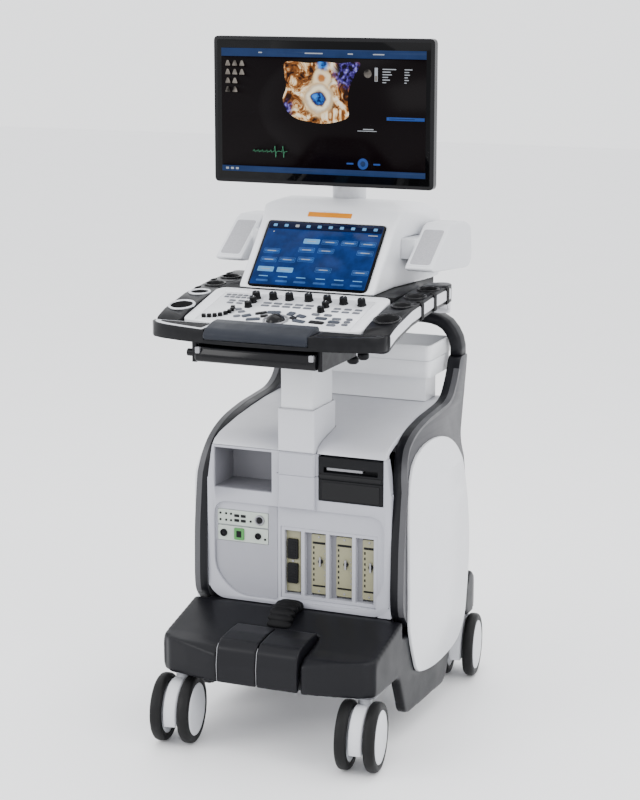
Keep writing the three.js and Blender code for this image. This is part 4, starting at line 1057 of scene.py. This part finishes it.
touch_looks = [GLASS, TOUCH_BLUE, TOUCH_TOP, BUTTON_BLUE, BUTTON_LIT, TEXT_WHITE]
touch = Piece("touch_panel", "console", touch_looks, ["touch_screen"], "touch_glass")
face = on_face(93.0)
touch.plate(-139.5, 139.5, -88.5, 88.5, -7.3, 0.8, GLASS, 7, face)
touch.plate(*around(0, 0, TOUCH_WIDE, TOUCH_HIGH), 0.6, 1.0, TOUCH_BLUE, 3, face)
touch.plate(-134.5, 134.5, 66, 84.5, 0.9, 1.15, TOUCH_TOP, 2, face)


def touch_patch(u, v, wide, high, material, top=1.25, corner=2.4):
    """A patch of the picture, with its middle at u across and v down, both from 0 to 1."""
    x = -TOUCH_WIDE / 2 + TOUCH_WIDE * u
    y = TOUCH_HIGH / 2 - TOUCH_HIGH * v
    touch.plate(*around(x, y, wide, high), 0.95, top, material, corner, face)


def touch_button(u, v, wide, lit):
    """A lit button, or a blue one with an outline, with a dash where its word would be."""
    touch_patch(u, v, wide, 13.0, BUTTON_LIT if lit else BUTTON_BLUE)
    if not lit:
        touch_patch(u, v, wide - 2.4, 10.6, TOUCH_BLUE, 1.3)
        touch_patch(u, v, wide - 4.5, 6.8, BUTTON_BLUE, 1.35)
    touch_patch(u, v, wide * 0.55, 1.8, TEXT_WHITE, 1.4, 0.6)


for i in range(10):
    touch_patch(0.055 + i * 0.098, 0.055, 9.0, 7.0, TEXT_WHITE if i == 2 else BUTTON_LIT, 1.35, 1.5)
LIT_BUTTONS = [(0.42, 0.29), (0.10, 0.76), (0.27, 0.76)]
DARK_BUTTONS = [
    (0.58, 0.29), (0.75, 0.29), (0.91, 0.29), (0.40, 0.43), (0.57, 0.43), (0.91, 0.43), (0.10, 0.47),
    (0.10, 0.61), (0.26, 0.60), (0.42, 0.58), (0.60, 0.73), (0.92, 0.74),
]
for places, lit in ((LIT_BUTTONS, True), (DARK_BUTTONS, False)):
    for u, v in places:
        touch_button(u, v, 38.0, lit)
for u in (0.10, 0.27, 0.43, 0.60, 0.76, 0.92):
    touch_patch(u, 0.87, 22.0, 2.0, BUTTON_LIT, 1.3, 0.8)
    touch_patch(u, 0.94, 28.0, 5.0, BUTTON_BLUE, 1.3, 2.0)
touch_patch(0.06, 0.16, 3.0, 3.0, TEXT_WHITE, 1.3, 1.2)
touch_patch(0.93, 0.15, 22.0, 2.0, TEXT_WHITE, 1.3, 0.8)
touch.make()

badge = Piece("badge", "console", [ORANGE, SILVER_AND_PAINTED_REFLECTION], slot="port_ivory")
badge.plate(-52, 52, -6.5, 6.5, -3.0, 1.2, ORANGE, 2.0, on_face(203.0))
badge.plate(-18, 18, 6.6, 9.2, -3.0, 0.9, SILVER_AND_PAINTED_REFLECTION, 1.0, on_face(203.0))
badge.make(0.5)

# ---- speakers
POD_ANGLE = math.degrees(math.atan2(79.0, 120.0))
for label, side in SIDES:
    grille = Piece(f"speaker_grille_{label}", "console", [GRILLE, WHITE], slot="cover_grey")
    at = place(side * 226.0, 44.0, 1069.5, rx=POD_ANGLE)
    grille.plate(-27, 27, -62, 62, -4.0, 0.9, WHITE, 9, at)
    grille.plate(-23.5, 23.5, -58, 58, -3.0, 1.5, GRILLE, 7, at)
    grille.make(0.7)

# ---- monitor
(CASE_LEFT, FRONT, CASE_LOW), (CASE_RIGHT, _, CASE_HIGH) = cad_box("monitor_housing")
BACK_MIDDLE = 1359
housing = Piece("monitor_case", "monitor", [GLOSS, BLACK, SILVER], ["monitor_housing"], "console_black")
CASE_LAYERS = [(0, FRONT, 9.0, GLOSS, 11), (1, 8.5, 12.5, SILVER, 11), (3.5, 12.0, 18.0, BLACK, 12)]
for inset, *layer in CASE_LAYERS:
    housing.slab(CASE_LEFT + inset, CASE_RIGHT - inset, CASE_LOW + inset, CASE_HIGH - inset, *layer)
back_rings = []
for step in range(7):
    t = step / 6
    shrink = 1.0 - 0.16 * t ** 2.2
    level = 17.0 + 35.0 * math.sin(t * math.pi / 2)
    low = BACK_MIDDLE - 132 * shrink
    outline = rectangle(-200 * shrink, 200 * shrink, low, BACK_MIDDLE + 132 * shrink, 34, 7)
    back_rings.append([(x, level, z) for x, z in outline])
housing.loft(back_rings, BLACK)
for row in range(9):
    housing.slab(-120, 120, 1430 + row * 6, 1432.5 + row * 6, 50.0, 52.4, GLOSS, 1.2)
for near, far in ((-44.0, -31.0), (31.0, 44.0)):
    housing.prism(rectangle(48, 98, 1300, 1336, 12), "x", near, far, GLOSS)
housing.slab(-62, 62, 1290, 1346, 50.0, 54.0, BLACK, 10)
housing.make(1.2, 3)

picture_looks = [GLASS, SCREEN_DARK, BAR_BLUE, LINE_BLUE, TEXT_WHITE, TRACE_GREEN, THUMB, ECHO]
picture = Piece("monitor_picture", "monitor", picture_looks, ["monitor_screen"], "screen_glass")
(GLASS_LEFT, _, GLASS_LOW), (GLASS_RIGHT, _, GLASS_HIGH) = cad_box("monitor_screen")
SHOWN_RIGHT = GLASS_RIGHT - 10
SHOWN_LEFT = GLASS_LEFT + 10
SHOWN_LOW = GLASS_LOW + 16.5
SHOWN_HIGH = GLASS_HIGH - 18
picture.slab(GLASS_LEFT, GLASS_RIGHT, GLASS_LOW, GLASS_HIGH, FRONT - 0.25, FRONT + 2.5, GLASS, 3)
picture.slab(SHOWN_LEFT, SHOWN_RIGHT, SHOWN_LOW, SHOWN_HIGH, FRONT - 0.5, FRONT, SCREEN_DARK)


def shown(x0, x1, z0, z1, material, corner=0.0, depth=0.8):
    """A patch of the picture. A patch in front of another has more depth."""
    picture.slab(x0, x1, z0, z1, FRONT - depth, FRONT, material, corner)


def shown_shape(outline, material, depth):
    picture.prism(outline, "y", FRONT - depth, FRONT, material)


shown(SHOWN_LEFT, SHOWN_RIGHT, 1476, SHOWN_HIGH, BAR_BLUE)
shown(SHOWN_LEFT, SHOWN_RIGHT, SHOWN_LOW, 1237, BAR_BLUE)
for x, wide in ((-40, 42), (60, 12), (118, 26), (-150, 9)):
    shown(x, x + wide, 1483.5, 1486.0, TEXT_WHITE, 0.8, 1.0)
for column, thumbs in enumerate((4, 4, 2)):
    for row in range(thumbs):
        x = -224.0 + column * 17.0
        z = 1464.0 - row * 19.0
        fan = [(x - 6.5, z - 9), (x + 6.5, z - 9), (x + 2.0, z + 3), (x - 2.0, z + 3)]
        shown_shape(rounded(fan, 2.0, 3), THUMB, 0.9)
ECHO_EDGE = [
    (-84, 1466), (-30, 1464), (0, 1468), (40, 1465), (88, 1467), (76, 1440), (64, 1412), (60, 1380),
    (62, 1352), (40, 1341), (6, 1335), (-30, 1338), (-62, 1345), (-84, 1362), (-92, 1386), (-84, 1412),
    (-88, 1440),
]
shown_shape([tuple(p) for p in curve(ECHO_EDGE, 5, closed=True)], ECHO, 1.0)
shown(122, 129, 1428, 1457, TEXT_WHITE, 0.6)
shown(122.8, 128.2, 1429, 1440, THUMB, 0.4, 0.95)
for row, wide in enumerate((44, 26, 30, 18, 24, 12)):
    low = 1453 - row * 5.6
    shown(140, 140 + wide * 0.7, low, low + 2, TEXT_WHITE, 0.5)
    shown(190, 190 + wide * 0.4, low, low + 2, TEXT_WHITE, 0.5)
shown_shape(circle(106, 1444, 9, 24), THUMB, 0.75)
shown(150, 236, 1346, 1353, LINE_BLUE, 0.5)
shown(156, 214, 1348.5, 1350.5, BAR_BLUE, 0.5, 0.95)
shown(83, 127, 1321, 1322.4, TEXT_WHITE)
shown(96, 120, 1324.5, 1326.5, TEXT_WHITE, 0.5)
shown_shape(circle(96, 1251, 12, 32), LINE_BLUE, 0.8)
shown_shape(circle(96, 1251, 6, 32), BAR_BLUE, 1.0)
for x in (58, 120):
    shown(x, x + 16, 1249, 1252.5, LINE_BLUE, 1.5)
for x in (-230, -218, -206):
    shown(x, x + 7, 1228.5, 1233, TEXT_WHITE, 1.0, 1.0)
trace = []
for i in range(5):
    x = -164.0 + i * 10.0
    trace += [(x, 1270), (x + 3, 1274), (x + 5, 1268), (x + 8, 1271)]
for x in (-114.0, -95.0):
    trace += [(x, 1270), (x + 2.5, 1283), (x + 4.5, 1258), (x + 7, 1271), (x + 13, 1272)]
picture.sweep([(x, FRONT - 0.4, z) for x, z in trace], 0.55, 6, TRACE_GREEN)
picture.make()

# ---- floor and light
REACH = 14.0  # metres from the middle to an edge of the floor
floor_corners = [(-REACH, -REACH, 0.0), (REACH, -REACH, 0.0), (REACH, REACH, 0.0), (-REACH, REACH, 0.0)]
floor_data = bpy.data.meshes.new("floor")
floor_data.from_pydata(floor_corners, [], [(0, 1, 2, 3)])
floor_data.materials.append(
    surface("studio_floor", (0.93, 0.93, 0.935), 0.55, 300.0, bump=0.01, spread=0.006, mottle=3.0)
)
floor = bpy.data.objects.new("floor", floor_data)
bpy.context.scene.collection.objects.link(floor)


def area_light(name, spot, target, wide, high, power):
    """A rectangular light in metres and watts, turned to a target."""
    data = bpy.data.lights.new(name, "AREA")
    data.shape = "RECTANGLE"
    data.size = wide
    data.size_y = high
    data.energy = power
    light = bpy.data.objects.new(name, data)
    light.location = spot
    light.rotation_euler = (Vector(target) - Vector(spot)).to_track_quat("-Z", "Y").to_euler()
    bpy.context.scene.collection.objects.link(light)


area_light("key", (3.4, -1.6, 2.6), (0.0, 0.0, 0.8), 2.0, 2.4, 60.0)
area_light("fill", (-2.6, -3.2, 2.4), (0.0, 0.0, 0.7), 2.0, 2.0, 75.0)
area_light("top", (0.2, 0.4, 4.2), (0.0, 0.0, 0.9), 3.0, 3.0, 70.0)

world = bpy.data.worlds.new("studio")
world.use_nodes = True
set_inputs(world.node_tree.nodes["Background"], Color=(0.97, 0.98, 1.0), Strength=2.0)
bpy.context.scene.world = world
